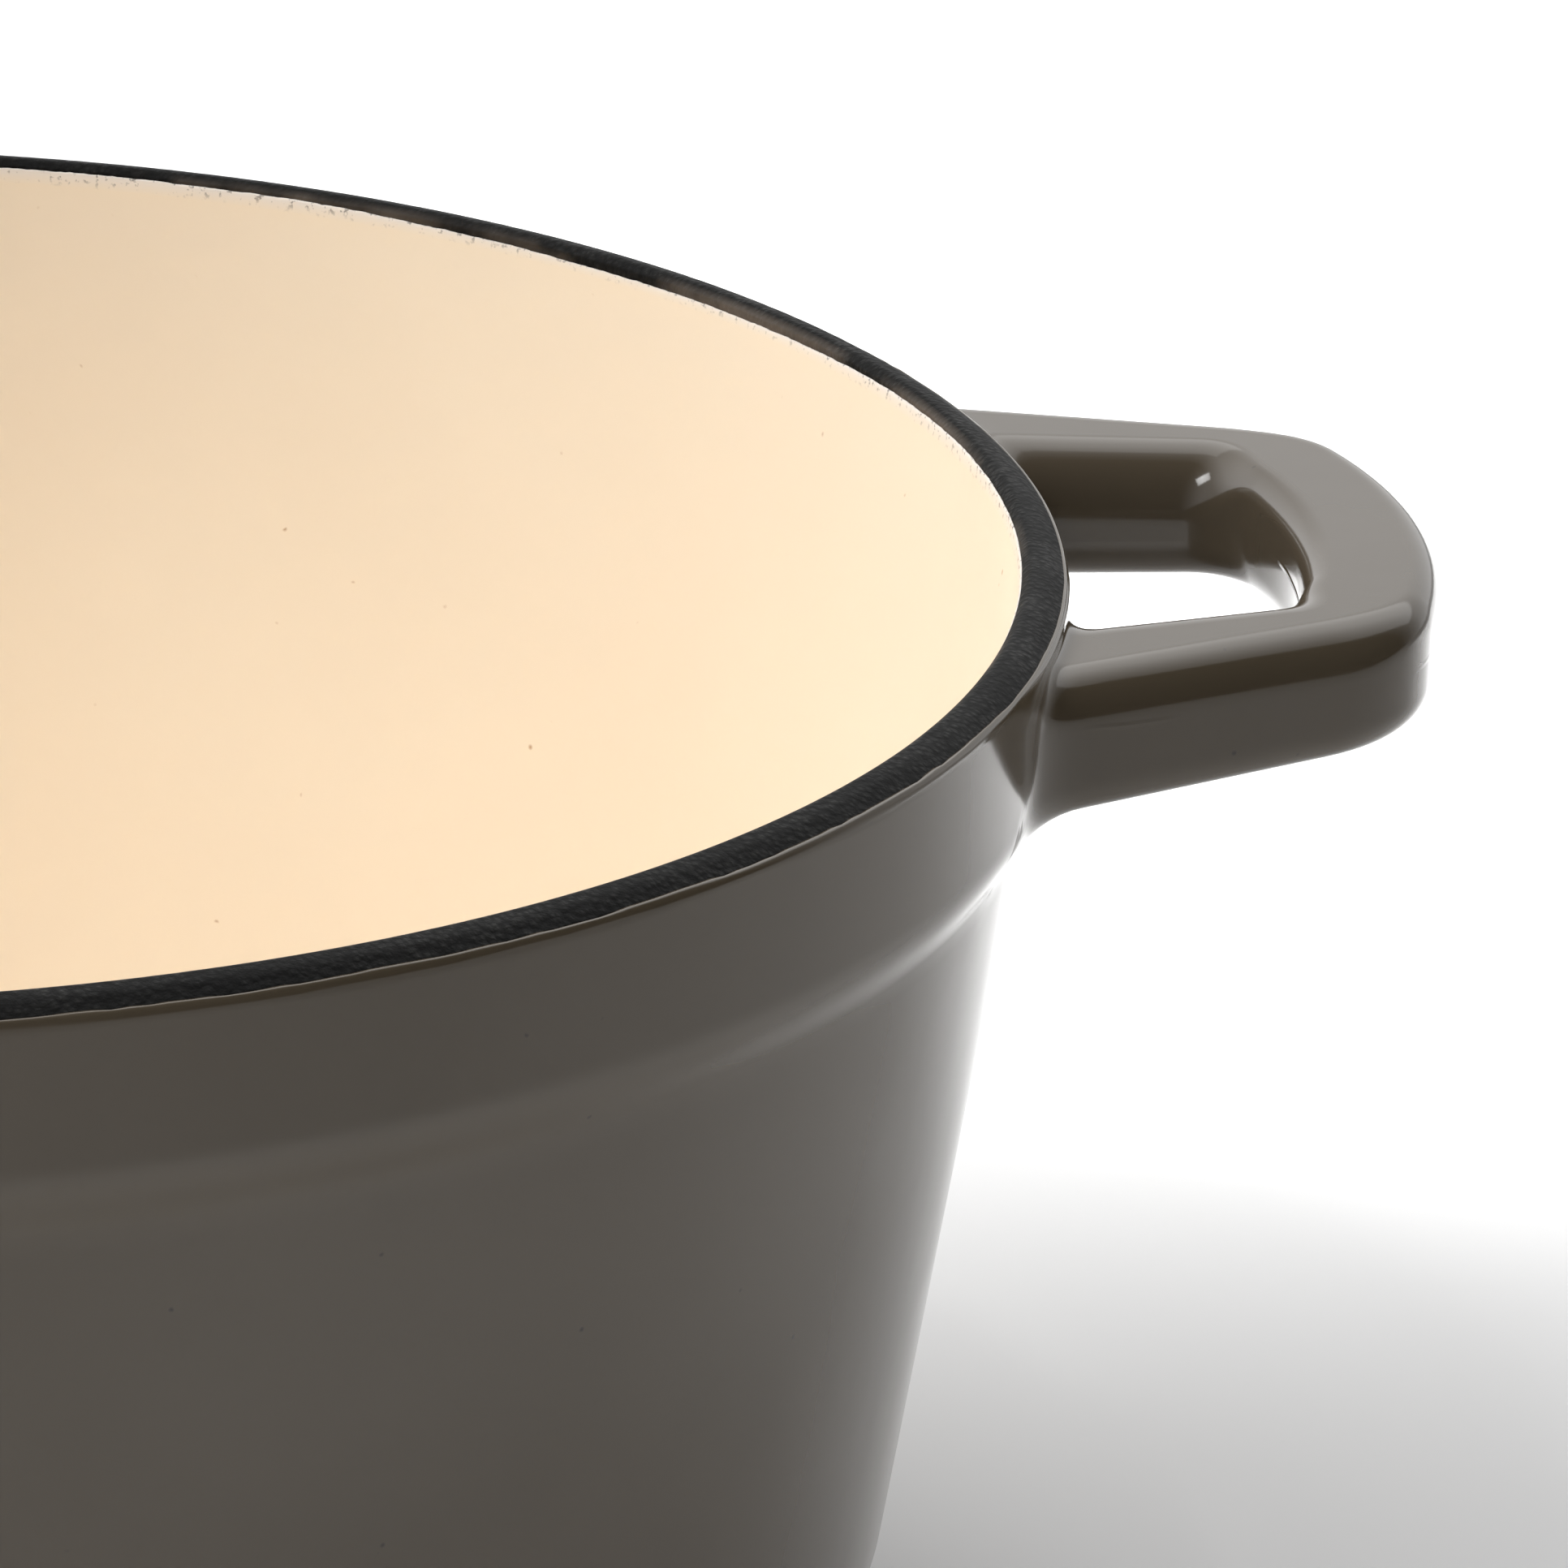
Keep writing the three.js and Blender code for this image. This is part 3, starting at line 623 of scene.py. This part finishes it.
def parting_line(tree):
    """The faint broken ridge on the handles where the two halves of the sand mould met."""
    place = object_place(tree)
    wander = clouded(tree, place, 60.0, 2.0)
    height = wire(tree, "ShaderNodeSeparateXYZ", None, Vector=place).outputs["Z"]
    bent = computed(tree, "MULTIPLY_ADD", wander, 1.2 * MM, height)
    rise = mapped(tree, bent, PARTING - RIDGE, PARTING, 0.0, 1.0)
    fall = mapped(tree, bent, PARTING, PARTING + RIDGE, 1.0, 0.0)
    ridge = computed(tree, "MULTIPLY", rise, fall)
    unbroken = mapped(tree, clouded(tree, place, 45.0, 1.0), 0.42, 0.55, 0.0, 1.0)
    on_handle = mapped(tree, from_axis(tree, place), RIM_RADIUS + 3 * MM, RIM_RADIUS + 8 * MM, 0.0, 1.0)
    return computed(tree, "MULTIPLY", ridge, computed(tree, "MULTIPLY", unbroken, on_handle))


def taupe_enamel():
    """Opaque grey taupe glass: glossy, a shade deeper in slow clouds, with rare dark pinholes."""
    material, tree, shader = blank_material("taupe enamel")
    glass = effect(tree, glass_group, Wave_Size=0.007, Cloud_Size=0.045, Speck_Size=0.0035)
    smears = effect(tree, smear_group, Smear_Size=0.035)
    deep = (0.088, 0.069, 0.046, 1)
    pale = (0.102, 0.081, 0.057, 1)
    colour = blended(tree, mapped(tree, glass["Cloud"], 0.3, 0.7, 0.0, 1.0), deep, pale)
    colour = blended(tree, glass["Specks"], colour, (0.05, 0.042, 0.033, 1))
    tree.links.new(colour, shader.inputs["Base Color"])
    tree.links.new(mapped(tree, smears["Dulling"], 0.0, 1.0, 0.09, 0.16), shader.inputs["Roughness"])
    shader.inputs["IOR"].default_value = 1.52
    waves = wire(tree, "ShaderNodeBump", None, Strength=0.35, Distance=0.00006, Height=glass["Height"])
    ridge = wire(tree, "ShaderNodeBump", None, Strength=0.8, Distance=0.00018, Height=parting_line(tree),
                 Normal=waves.outputs[0])
    tree.links.new(ridge.outputs[0], shader.inputs["Normal"])
    return material


taupe_finish = taupe_enamel()
pot_outside_enamel.data.materials.append(taupe_finish)
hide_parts("pot_exterior_enamel")
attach(pot_outside_enamel, "pot")

# ----------------------------------------------------- pot's inside enamel
# Cream glass on the floor and the wall inside, up to a thin bead just under the black lip of the rim. It
# wanders a little there, and dips along one stretch where the glass was wiped lower.
LINING_TOP = 0.95 * MM
WIPED_ANGLE = math.radians(38)
WIPED_SPREAD = math.radians(32)
WIPED_DIP = 0.65
lining = [Vector((0, FLOOR_HEIGHT))]
lining += arc((floor_centre, FLOOR_HEIGHT + FLOOR_FILLET), FLOOR_FILLET, -math.pi / 2, -DRAFT_ANGLE, 14)
lining_edge = mouth_radius(POT_HEIGHT)
lining += [Vector((lining_edge - 0.05 * MM, POT_HEIGHT - LINING_TOP - 0.5 * MM))]
face = filled(lining, 4 * MM)
face += [
    Vector((lining_edge - 0.03 * MM, POT_HEIGHT - LINING_TOP - 0.15 * MM)),
    Vector((lining_edge + 0.08 * MM, POT_HEIGHT - LINING_TOP)),
    Vector((lining_edge + 0.22 * MM, POT_HEIGHT - LINING_TOP - 0.02 * MM)),
]
back = [Vector((p.x, p.y)) for p in moved_in(filled(lining, 4 * MM), -GLASS)]
back[0].x = 0
lining_profile = back + face[::-1]


def lining_ripple(place, angle):
    """The bead's height wanders round the rim, and dips where the glass was wiped lower along one stretch."""
    near_edge = eased((place.z - (POT_HEIGHT - 3 * MM)) / (1.5 * MM))
    spot = Vector((math.cos(angle), math.sin(angle), 3))
    wander = noise.noise(spot * 7) * 0.12 + noise.noise(spot * 45) * 0.08 + noise.noise(spot * 160) * 0.10
    dip = eased(1 - abs(angle - WIPED_ANGLE) / WIPED_SPREAD)
    return Vector((0, 0, (wander - WIPED_DIP * dip) * near_edge * MM))


build = bmesh.new()
turn(build, lining_profile, GRAIN_STEPS, ripple=lining_ripple)
pot_inside_enamel = piece_from("pot_inside_enamel", build)


def cream_enamel():
    """Opaque cream glass: smooth, warm, with a trace of darker pinholes and very slow clouds."""
    material, tree, shader = blank_material("cream enamel")
    glass = effect(tree, glass_group, Wave_Size=0.010, Cloud_Size=0.07, Speck_Size=0.004)
    smears = effect(tree, smear_group, Smear_Size=0.05)
    warm = (0.90, 0.785, 0.635, 1)
    light = (0.92, 0.815, 0.67, 1)
    colour = blended(tree, mapped(tree, glass["Cloud"], 0.3, 0.7, 0.0, 1.0), warm, light)
    colour = blended(tree, glass["Specks"], colour, (0.55, 0.38, 0.24, 1))
    place = object_place(tree)
    height = wire(tree, "ShaderNodeSeparateXYZ", None, Vector=place).outputs["Z"]
    bead = mapped(tree, height, POT_HEIGHT - 2.6 * MM, POT_HEIGHT - 1.4 * MM, 0.0, 1.0)
    colour = blended(tree, bead, colour, (0.86, 0.80, 0.74, 1))
    crumbs = mapped(tree, clouded(tree, place, 1500.0, 2.0), 0.58, 0.68, 0.0, 0.7)
    crumbled = computed(tree, "MULTIPLY", bead, crumbs)
    colour = blended(tree, crumbled, colour, (0.14, 0.12, 0.10, 1))
    tree.links.new(colour, shader.inputs["Base Color"])
    tree.links.new(mapped(tree, smears["Dulling"], 0.0, 1.0, 0.22, 0.30), shader.inputs["Roughness"])
    shader.inputs["IOR"].default_value = 1.5
    raise_surface(tree, shader, glass["Height"], 0.25, 0.00005)
    return material


cream_finish = cream_enamel()
pot_inside_enamel.data.materials.append(cream_finish)
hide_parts("pot_interior_enamel")
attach(pot_inside_enamel, "pot")

# ---------------------------------------------------------------- lid casting
# A low domed iron casting with a locating ring that drops inside the pot's mouth. The seat under its edge and
# the ring stay bare and black, like the pot's rim. It lies on its ring beside the pot.
lid_low, lid_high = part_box("lid_casting")
LID_CENTRE = ((lid_low.x + lid_high.x) / 2, 0.0)
LID_RADIUS = lid_high.y
RING_DROP = 5 * MM
SEAT = lid_low.z + RING_DROP
RING_OUTER = 125.6 * MM
RING_INNER = 121.4 * MM
SCREW_HOLE = 3.6 * MM
LID_STEPS = 480
lid_top_corners = [
    (LID_RADIUS, 1.2, 0), (LID_RADIUS, 7.0, 2.4), (119 * MM, 8.5, 5.0), (112 * MM, 14.2, 5.0),
    (69 * MM, 19.6, 90.0), (25.5 * MM, 21.2, 8.0), (23.0 * MM, 22.0, 1.2), (SCREW_HOLE - 0.3 * MM, 22.0, 0),
]
lid_under_corners = [
    (SCREW_HOLE - 0.3 * MM, 17.0, 0), (24 * MM, 17.0, 6.0), (69 * MM, 14.6, 90.0), (105 * MM, 9.8, 9.0),
    (115 * MM, 3.4, 5.0), (RING_INNER, 1.4, 3.0), (RING_INNER, -3.6, 0),
]


def lid_path(corners, steps=8):
    """A lid profile from corners given as (radius in metres, height above the seat and rounding in mm)."""
    return filled(rounded([(r, SEAT + z * MM, rounding * MM) for r, z, rounding in corners], steps), 3 * MM)


lid_top = lid_path(lid_top_corners)
lid_under = lid_path(lid_under_corners)
iron_top = moved_in(lid_top, IRON_DEPTH)
iron_under = moved_in(lid_under, IRON_DEPTH)
iron_top[-1].x = SCREW_HOLE
iron_under[0].x = SCREW_HOLE
seat_edge = rounded([
    (iron_under[-1].x, iron_under[-1].y, 0),
    (iron_under[-1].x, SEAT - RING_DROP + 1.0 * MM, 0.1 * MM),
    (RING_INNER + 0.1 * MM, SEAT - RING_DROP + 0.9 * MM, 0.1 * MM),
    (RING_INNER + 0.6 * MM, SEAT - RING_DROP, 0.6 * MM),
    (RING_OUTER, SEAT - RING_DROP, 1.0 * MM),
    (RING_OUTER, SEAT, 0.8 * MM),
    (LID_RADIUS - 0.2 * MM, SEAT, 0.6 * MM),
    (LID_RADIUS - 0.1 * MM, SEAT + 0.9 * MM, 0.2 * MM),
    (iron_top[0].x, iron_top[0].y, 0),
])
lid_iron_profile = iron_under + filled(seat_edge[1:-1], 1.0 * MM) + iron_top
build = bmesh.new()
turn(build, lid_iron_profile, LID_STEPS, centre=LID_CENTRE)
lid_iron = piece_from("lid_iron", build)
lid_iron.data.materials.append(iron_finish)
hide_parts("lid_casting")
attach(lid_iron, "lid")

# ---------------------------------------------------- lid's outside enamel
# The pot's taupe glass again, over the lid's edge, its stepped shoulder and the flat boss under the knob. It
# stops just above the bare seat under the lid's edge.


def shell_profile(face_path, thickness):
    """A thin coat: a face path and its back, with the ends of the back brought in line with the face."""
    behind = moved_in(face_path, thickness)
    at_hole = 10 * MM
    behind[0].x = face_path[0].x - thickness if face_path[0].x > at_hole else face_path[0].x
    behind[-1].x = face_path[-1].x if face_path[-1].x < at_hole else behind[-1].x
    return face_path + behind[::-1]


build = bmesh.new()
turn(build, shell_profile(lid_top, GLASS), LID_STEPS, centre=LID_CENTRE)
lid_outside_enamel = piece_from("lid_outside_enamel", build)
lid_outside_enamel.data.materials.append(taupe_finish)
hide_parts("lid_exterior_enamel")
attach(lid_outside_enamel, "lid")

# ----------------------------------------------------- lid's inside enamel
# Cream glass under the lid. Rows of cast drip points stand down from it: steam gathers on them and falls back
# on the food.
DRIP_RADIUS = 4.5 * MM
DRIP_DROP = 2.4 * MM
drips = []
for ring_number, ring_radius in enumerate((30, 50, 70, 90)):
    count = 6 + 4 * ring_number
    for k in range(count):
        angle = 2 * math.pi * (k + 0.5 * (ring_number % 2)) / count
        drips.append((LID_CENTRE[0] + ring_radius * MM * math.cos(angle), ring_radius * MM * math.sin(angle)))
drip_places = np.array(drips)


def drip_points(place, angle):
    """Pulls the underside down into a rounded point at each drip place."""
    away = np.hypot(drip_places[:, 0] - place.x, drip_places[:, 1] - place.y).min()
    return Vector((0, 0, -DRIP_DROP * eased(1 - away / DRIP_RADIUS)))


under_face = filled(lid_under, 1.2 * MM)
build = bmesh.new()
turn(build, shell_profile(under_face, GLASS), LID_STEPS, centre=LID_CENTRE, ripple=drip_points)
lid_inside_enamel = piece_from("lid_inside_enamel", build)
lid_inside_enamel.data.materials.append(cream_finish)
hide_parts("lid_interior_enamel")
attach(lid_inside_enamel, "lid")

# ----------------------------------------------------------------------- knob
# Turned from stainless bar: a waisted stem under a broad flat grip, blind-drilled from below. The lathe's
# fine rings are left in the satin finish.
knob_low, knob_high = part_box("lid_knob")
KNOB_STEPS = 128
knob_corners = [    # radius, height and rounding in mm
    (0, 13, 0), (3.3, 13, 0.3), (3.3, 0, 0.3), (11, 0, 0.5), (11, 1.8, 0.6), (9.2, 3.6, 2.0),
    (8.4, 9.5, 9.0), (15.5, 16.5, 6.0), (20.0, 19.2, 1.6), (20.0, 24.0, 2.2), (14.0, 26.6, 10.0), (0, 27, 0),
]
knob_scale = (knob_high.z - knob_low.z) / knob_corners[-1][1]
knob_sized = [(r * knob_scale, knob_low.z + z * knob_scale, soft * knob_scale) for r, z, soft in knob_corners]
knob_profile = filled(rounded(knob_sized, 7), 1 * MM)
build = bmesh.new()
turn(build, knob_profile, KNOB_STEPS, centre=LID_CENTRE)
knob = piece_from("knob_turned", build)


def turned_steel(name, colour, roughness, ring_size):
    """Steel with fine lathe rings about the lid's axis, ring_size metres apart, and a faint wiped haze."""
    material, tree, shader = blank_material(name)
    place = object_place(tree)
    centred = wire(tree, "ShaderNodeVectorMath", {"operation": "SUBTRACT"}, i0=place, i1=(*LID_CENTRE, 0))
    parts = wire(tree, "ShaderNodeSeparateXYZ", None, Vector=centred.outputs[0]).outputs
    flat = wire(tree, "ShaderNodeCombineXYZ", None, X=parts["X"], Y=parts["Y"])
    away = wire(tree, "ShaderNodeVectorMath", {"operation": "LENGTH"}, i0=flat.outputs[0]).outputs["Value"]
    rings = wire(tree, "ShaderNodeCombineXYZ", None, X=away, Y=parts["Z"])
    lines = clouded(tree, rings.outputs[0], 1 / ring_size, 3.0)
    smears = effect(tree, smear_group, Smear_Size=0.012)
    haze = computed(tree, "MULTIPLY_ADD", smears["Dulling"], 0.1, lines)
    dark = tuple(c * 0.8 for c in colour[:3]) + (1,)
    tone = mapped(tree, haze, 0.3, 0.7, 0.0, 1.0)
    tree.links.new(blended(tree, tone, dark, colour), shader.inputs["Base Color"])
    dulled = mapped(tree, haze, 0.3, 0.8, roughness * 0.8, roughness * 1.3)
    tree.links.new(dulled, shader.inputs["Roughness"])
    shader.inputs["Metallic"].default_value = 1
    raise_surface(tree, shader, lines, 0.3, 0.00003)
    return material


knob.data.materials.append(turned_steel("turned stainless", (0.62, 0.61, 0.59, 1), 0.27, 0.0003))
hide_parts("lid_knob")
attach(knob, "lid")

# --------------------------------------------------------------------- gasket
# A moulded silicone ring between the knob and the glass, with a small rounded lip all round. It keeps the
# steel off the glass.
gasket_low, gasket_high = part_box("knob_gasket")
gasket_radius = (gasket_high.x - gasket_low.x) / 2
gasket_corners = [
    (3.4 * MM, gasket_low.z, 0.2 * MM), (gasket_radius, gasket_low.z, 0.3 * MM),
    (gasket_radius + 0.4 * MM, (gasket_low.z + gasket_high.z) / 2, 0.3 * MM),
    (gasket_radius, gasket_high.z, 0.3 * MM), (3.4 * MM, gasket_high.z, 0.2 * MM),
]


def closed_rounded(corners, steps=4):
    """A closed profile with every corner rounded."""
    before = (*corners[-1][:2], 0)
    after = (*corners[0][:2], 0)
    return rounded([before, *corners, after], steps)[1:-1]


build = bmesh.new()
turn(build, closed_rounded(gasket_corners), KNOB_STEPS, centre=LID_CENTRE)
gasket = piece_from("gasket_ring", build)


def black_silicone():
    """Matt black silicone with a fine moulded texture and a little dust."""
    material, tree, shader = blank_material("black silicone")
    grain = effect(tree, grain_group, Grain_Size=0.0004, Grit_Size=0.00015)
    black = (0.012, 0.012, 0.012, 1)
    dusty = (0.03, 0.03, 0.029, 1)
    colour = blended(tree, mapped(tree, grain["Tone"], 0.4, 1.0, 0.0, 1.0), black, dusty)
    tree.links.new(colour, shader.inputs["Base Color"])
    tree.links.new(mapped(tree, grain["Tone"], 0.3, 0.9, 0.62, 0.8), shader.inputs["Roughness"])
    raise_surface(tree, shader, grain["Height"], 0.3, 0.00004)
    return material


gasket.data.materials.append(black_silicone())
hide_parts("knob_gasket")
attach(gasket, "lid")

# ------------------------------------------------------------ washer and screw
# Under the lid a stamped steel washer spreads the load of a pan head screw with a cross recess, which runs up
# through the lid and the gasket into the knob.
washer_low, washer_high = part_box("knob_washer")
washer_radius = (washer_high.x - washer_low.x) / 2
washer_corners = [
    (3.4 * MM, washer_low.z, 0.15 * MM), (washer_radius, washer_low.z, 0.4 * MM),
    (washer_radius, washer_high.z, 0.15 * MM), (3.4 * MM, washer_high.z, 0.3 * MM),
]
build = bmesh.new()
turn(build, closed_rounded(washer_corners), KNOB_STEPS, centre=LID_CENTRE)
washer = piece_from("washer_plate", build)
plain_steel = turned_steel("plain steel", (0.50, 0.50, 0.49, 1), 0.36, 0.0006)
washer.data.materials.append(plain_steel)
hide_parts("knob_washer")
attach(washer, "lid")

screw_low, screw_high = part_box("knob_screw")
HEAD = 3.4 * MM
head_top = screw_low.z + HEAD
THREAD_PITCH = 1.0 * MM
THREAD_CREST = 2.95 * MM
THREAD_ROOT = 2.45 * MM
thread_start = head_top + 7 * MM
turns = int((screw_high.z - 1.5 * MM - thread_start) / THREAD_PITCH)
thread = []
for k in range(turns):
    z = thread_start + k * THREAD_PITCH
    thread += [(THREAD_CREST, z, 0), (THREAD_ROOT, z + 0.5 * THREAD_PITCH, 0)]
screw_corners = [
    (0, screw_low.z, 0), (4.2 * MM, screw_low.z, 1.6 * MM), (6 * MM, screw_low.z + 1.6 * MM, 1.2 * MM),
    (6 * MM, head_top, 0.2 * MM), (THREAD_CREST, head_top, 0.2 * MM), *thread,
    (2.4 * MM, screw_high.z - 0.6 * MM, 0.2 * MM), (1.9 * MM, screw_high.z, 0.2 * MM), (0, screw_high.z, 0),
]
build = bmesh.new()
turn(build, filled(rounded(screw_corners, 5), 0.8 * MM), 96, centre=LID_CENTRE)
screw = piece_from("screw_pan_head", build)
build = bmesh.new()
for quarter in (0, 1):
    arm = bmesh.ops.create_cube(build, size=1)["verts"]
    bmesh.ops.scale(build, verts=arm, vec=(5.6 * MM, 1.15 * MM, 4 * MM))
    for v in arm:
        if v.co.z > 0:
            v.co.x *= 0.45
            v.co.y *= 0.75
    bmesh.ops.rotate(build, verts=arm, matrix=Matrix.Rotation(quarter * math.pi / 2, 3, "Z"))
bmesh.ops.translate(build, verts=build.verts, vec=(*LID_CENTRE, screw_low.z))
recess = piece_from("recess_tool", build)
cut = screw.modifiers.new("recess", "BOOLEAN")
cut.object = recess
cut.operation = "DIFFERENCE"
cut.solver = "EXACT"
cut.use_self = True
shaped = bpy.data.meshes.new_from_object(screw.evaluated_get(bpy.context.evaluated_depsgraph_get()))
screw.modifiers.clear()
screw.data = shaped
bpy.data.objects.remove(recess)
screw.data.set_sharp_from_angle(angle=math.radians(35))
screw.data.materials.clear()
screw.data.materials.append(plain_steel)
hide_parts("knob_screw")
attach(screw, "lid")

# ---------------------------------------------------------- floor and light
# A plain pale floor in a surround that is white behind and to the left, and dark on the camera's side, so the
# glass keeps its depth. A large soft box hangs behind on the right, a low one whitens the floor behind the
# pot, and three small ones brighten the front, the left and the inside.
FLOOR_REACH = 12.0
FLOOR_LEVEL = -0.1 * MM
floor_mesh = bpy.data.meshes.new("floor")
floor_signs = ((-1, -1), (1, -1), (1, 1), (-1, 1))
floor_corners = [(x * FLOOR_REACH, y * FLOOR_REACH, FLOOR_LEVEL) for x, y in floor_signs]
floor_mesh.from_pydata(floor_corners, [], [(0, 1, 2, 3)])
floor = bpy.data.objects.new("floor", floor_mesh)
bpy.context.scene.collection.objects.link(floor)
floor_material, _, floor_shader = blank_material("pale floor")
floor_shader.inputs["Base Color"].default_value = (0.92, 0.92, 0.92, 1)
floor_shader.inputs["Roughness"].default_value = 0.9
floor.data.materials.append(floor_material)

world = bpy.data.worlds.new("studio")
bpy.context.scene.world = world
world.use_nodes = True
sky = world.node_tree
background = sky.nodes["Background"]
direction = wire(sky, "ShaderNodeTexCoord").outputs["Generated"]
axes = wire(sky, "ShaderNodeSeparateXYZ", None, Vector=direction).outputs
behind = mapped(sky, axes["Y"], 0.0, 0.5, 0.0, 1.15)
left_side = mapped(sky, axes["X"], -0.2, -0.8, 0.0, 0.94)
surround = computed(sky, "ADD", behind, left_side)
seen = wire(sky, "ShaderNodeLightPath").outputs["Is Camera Ray"]
strength = wire(sky, "ShaderNodeMix", {"data_type": "FLOAT"}, i0=seen, i2=surround, i3=1.0)
background.inputs["Color"].default_value = (1, 1, 1, 1)
sky.links.new(strength.outputs[0], background.inputs["Strength"])


def soft_box(name, place, target, width, depth, power, spread):
    """A rectangular soft light aimed at a point, sizes in metres, power in watts and spread in degrees."""
    lamp = bpy.data.lights.new(name, "AREA")
    lamp.shape = "RECTANGLE"
    lamp.size = width
    lamp.size_y = depth
    lamp.energy = power
    lamp.spread = math.radians(spread)
    light = bpy.data.objects.new(name, lamp)
    light.visible_camera = False
    light.location = place
    light.rotation_mode = "QUATERNION"
    light.rotation_quaternion = (Vector(target) - Vector(place)).to_track_quat("-Z", "Y")
    bpy.context.scene.collection.objects.link(light)


soft_box("behind right", (0.7, 0.8, 1.4), (0, 0, 0.1), 2.0, 1.3, 4.4, 120)
soft_box("over the floor", (0.45, 0.6, 0.36), (0.45, 0.6, 0), 0.75, 0.9, 3.3, 45)
soft_box("before the pot", (-0.05, -0.19, 0.4), (-0.05, -0.19, 0), 0.5, 0.08, 0.05, 30)
soft_box("upper left", (-0.55, -0.2, 1.05), (0, 0, 0.1), 0.6, 0.26, 0.6, 60)
soft_box("into the pot", (0, 0, 0.5), (0, 0, 0), 0.12, 0.12, 0.1, 26)

# --------------------------------------------------------------------- camera
# A long lens a little above the rim, turned to the handle on the right. Its distance is measured from the
# middle of the rim.
CAMERA_DISTANCE = 0.8134
CAMERA_ELEVATION = math.radians(18.851)
CAMERA_TURN = math.radians(7.307)
CAMERA_TIP = math.radians(-1.978)
CAMERA_ROLL = math.radians(-0.549)
camera_data = bpy.data.cameras.new("camera")
camera = bpy.data.objects.new("camera", camera_data)
bpy.context.scene.collection.objects.link(camera)
camera_data.sensor_width = 36
camera_data.lens = 186.34     # millimetres, like the sensor's width
camera_data.clip_end = 100
rim_centre = Vector((0, 0, POT_HEIGHT))
towards_camera = Vector((0, -math.cos(CAMERA_ELEVATION), math.sin(CAMERA_ELEVATION)))
camera.location = rim_centre + CAMERA_DISTANCE * towards_camera
looking_down = Euler((math.pi / 2 - CAMERA_ELEVATION, 0, 0)).to_matrix()
aim = looking_down @ Matrix.Rotation(-CAMERA_TURN, 3, "Y") @ Matrix.Rotation(CAMERA_TIP, 3, "X")
camera.rotation_mode = "QUATERNION"
camera.rotation_quaternion = (aim @ Matrix.Rotation(CAMERA_ROLL, 3, "Z")).to_quaternion()
bpy.context.scene.camera = camera
bpy.context.scene.view_settings.view_transform = "Standard"
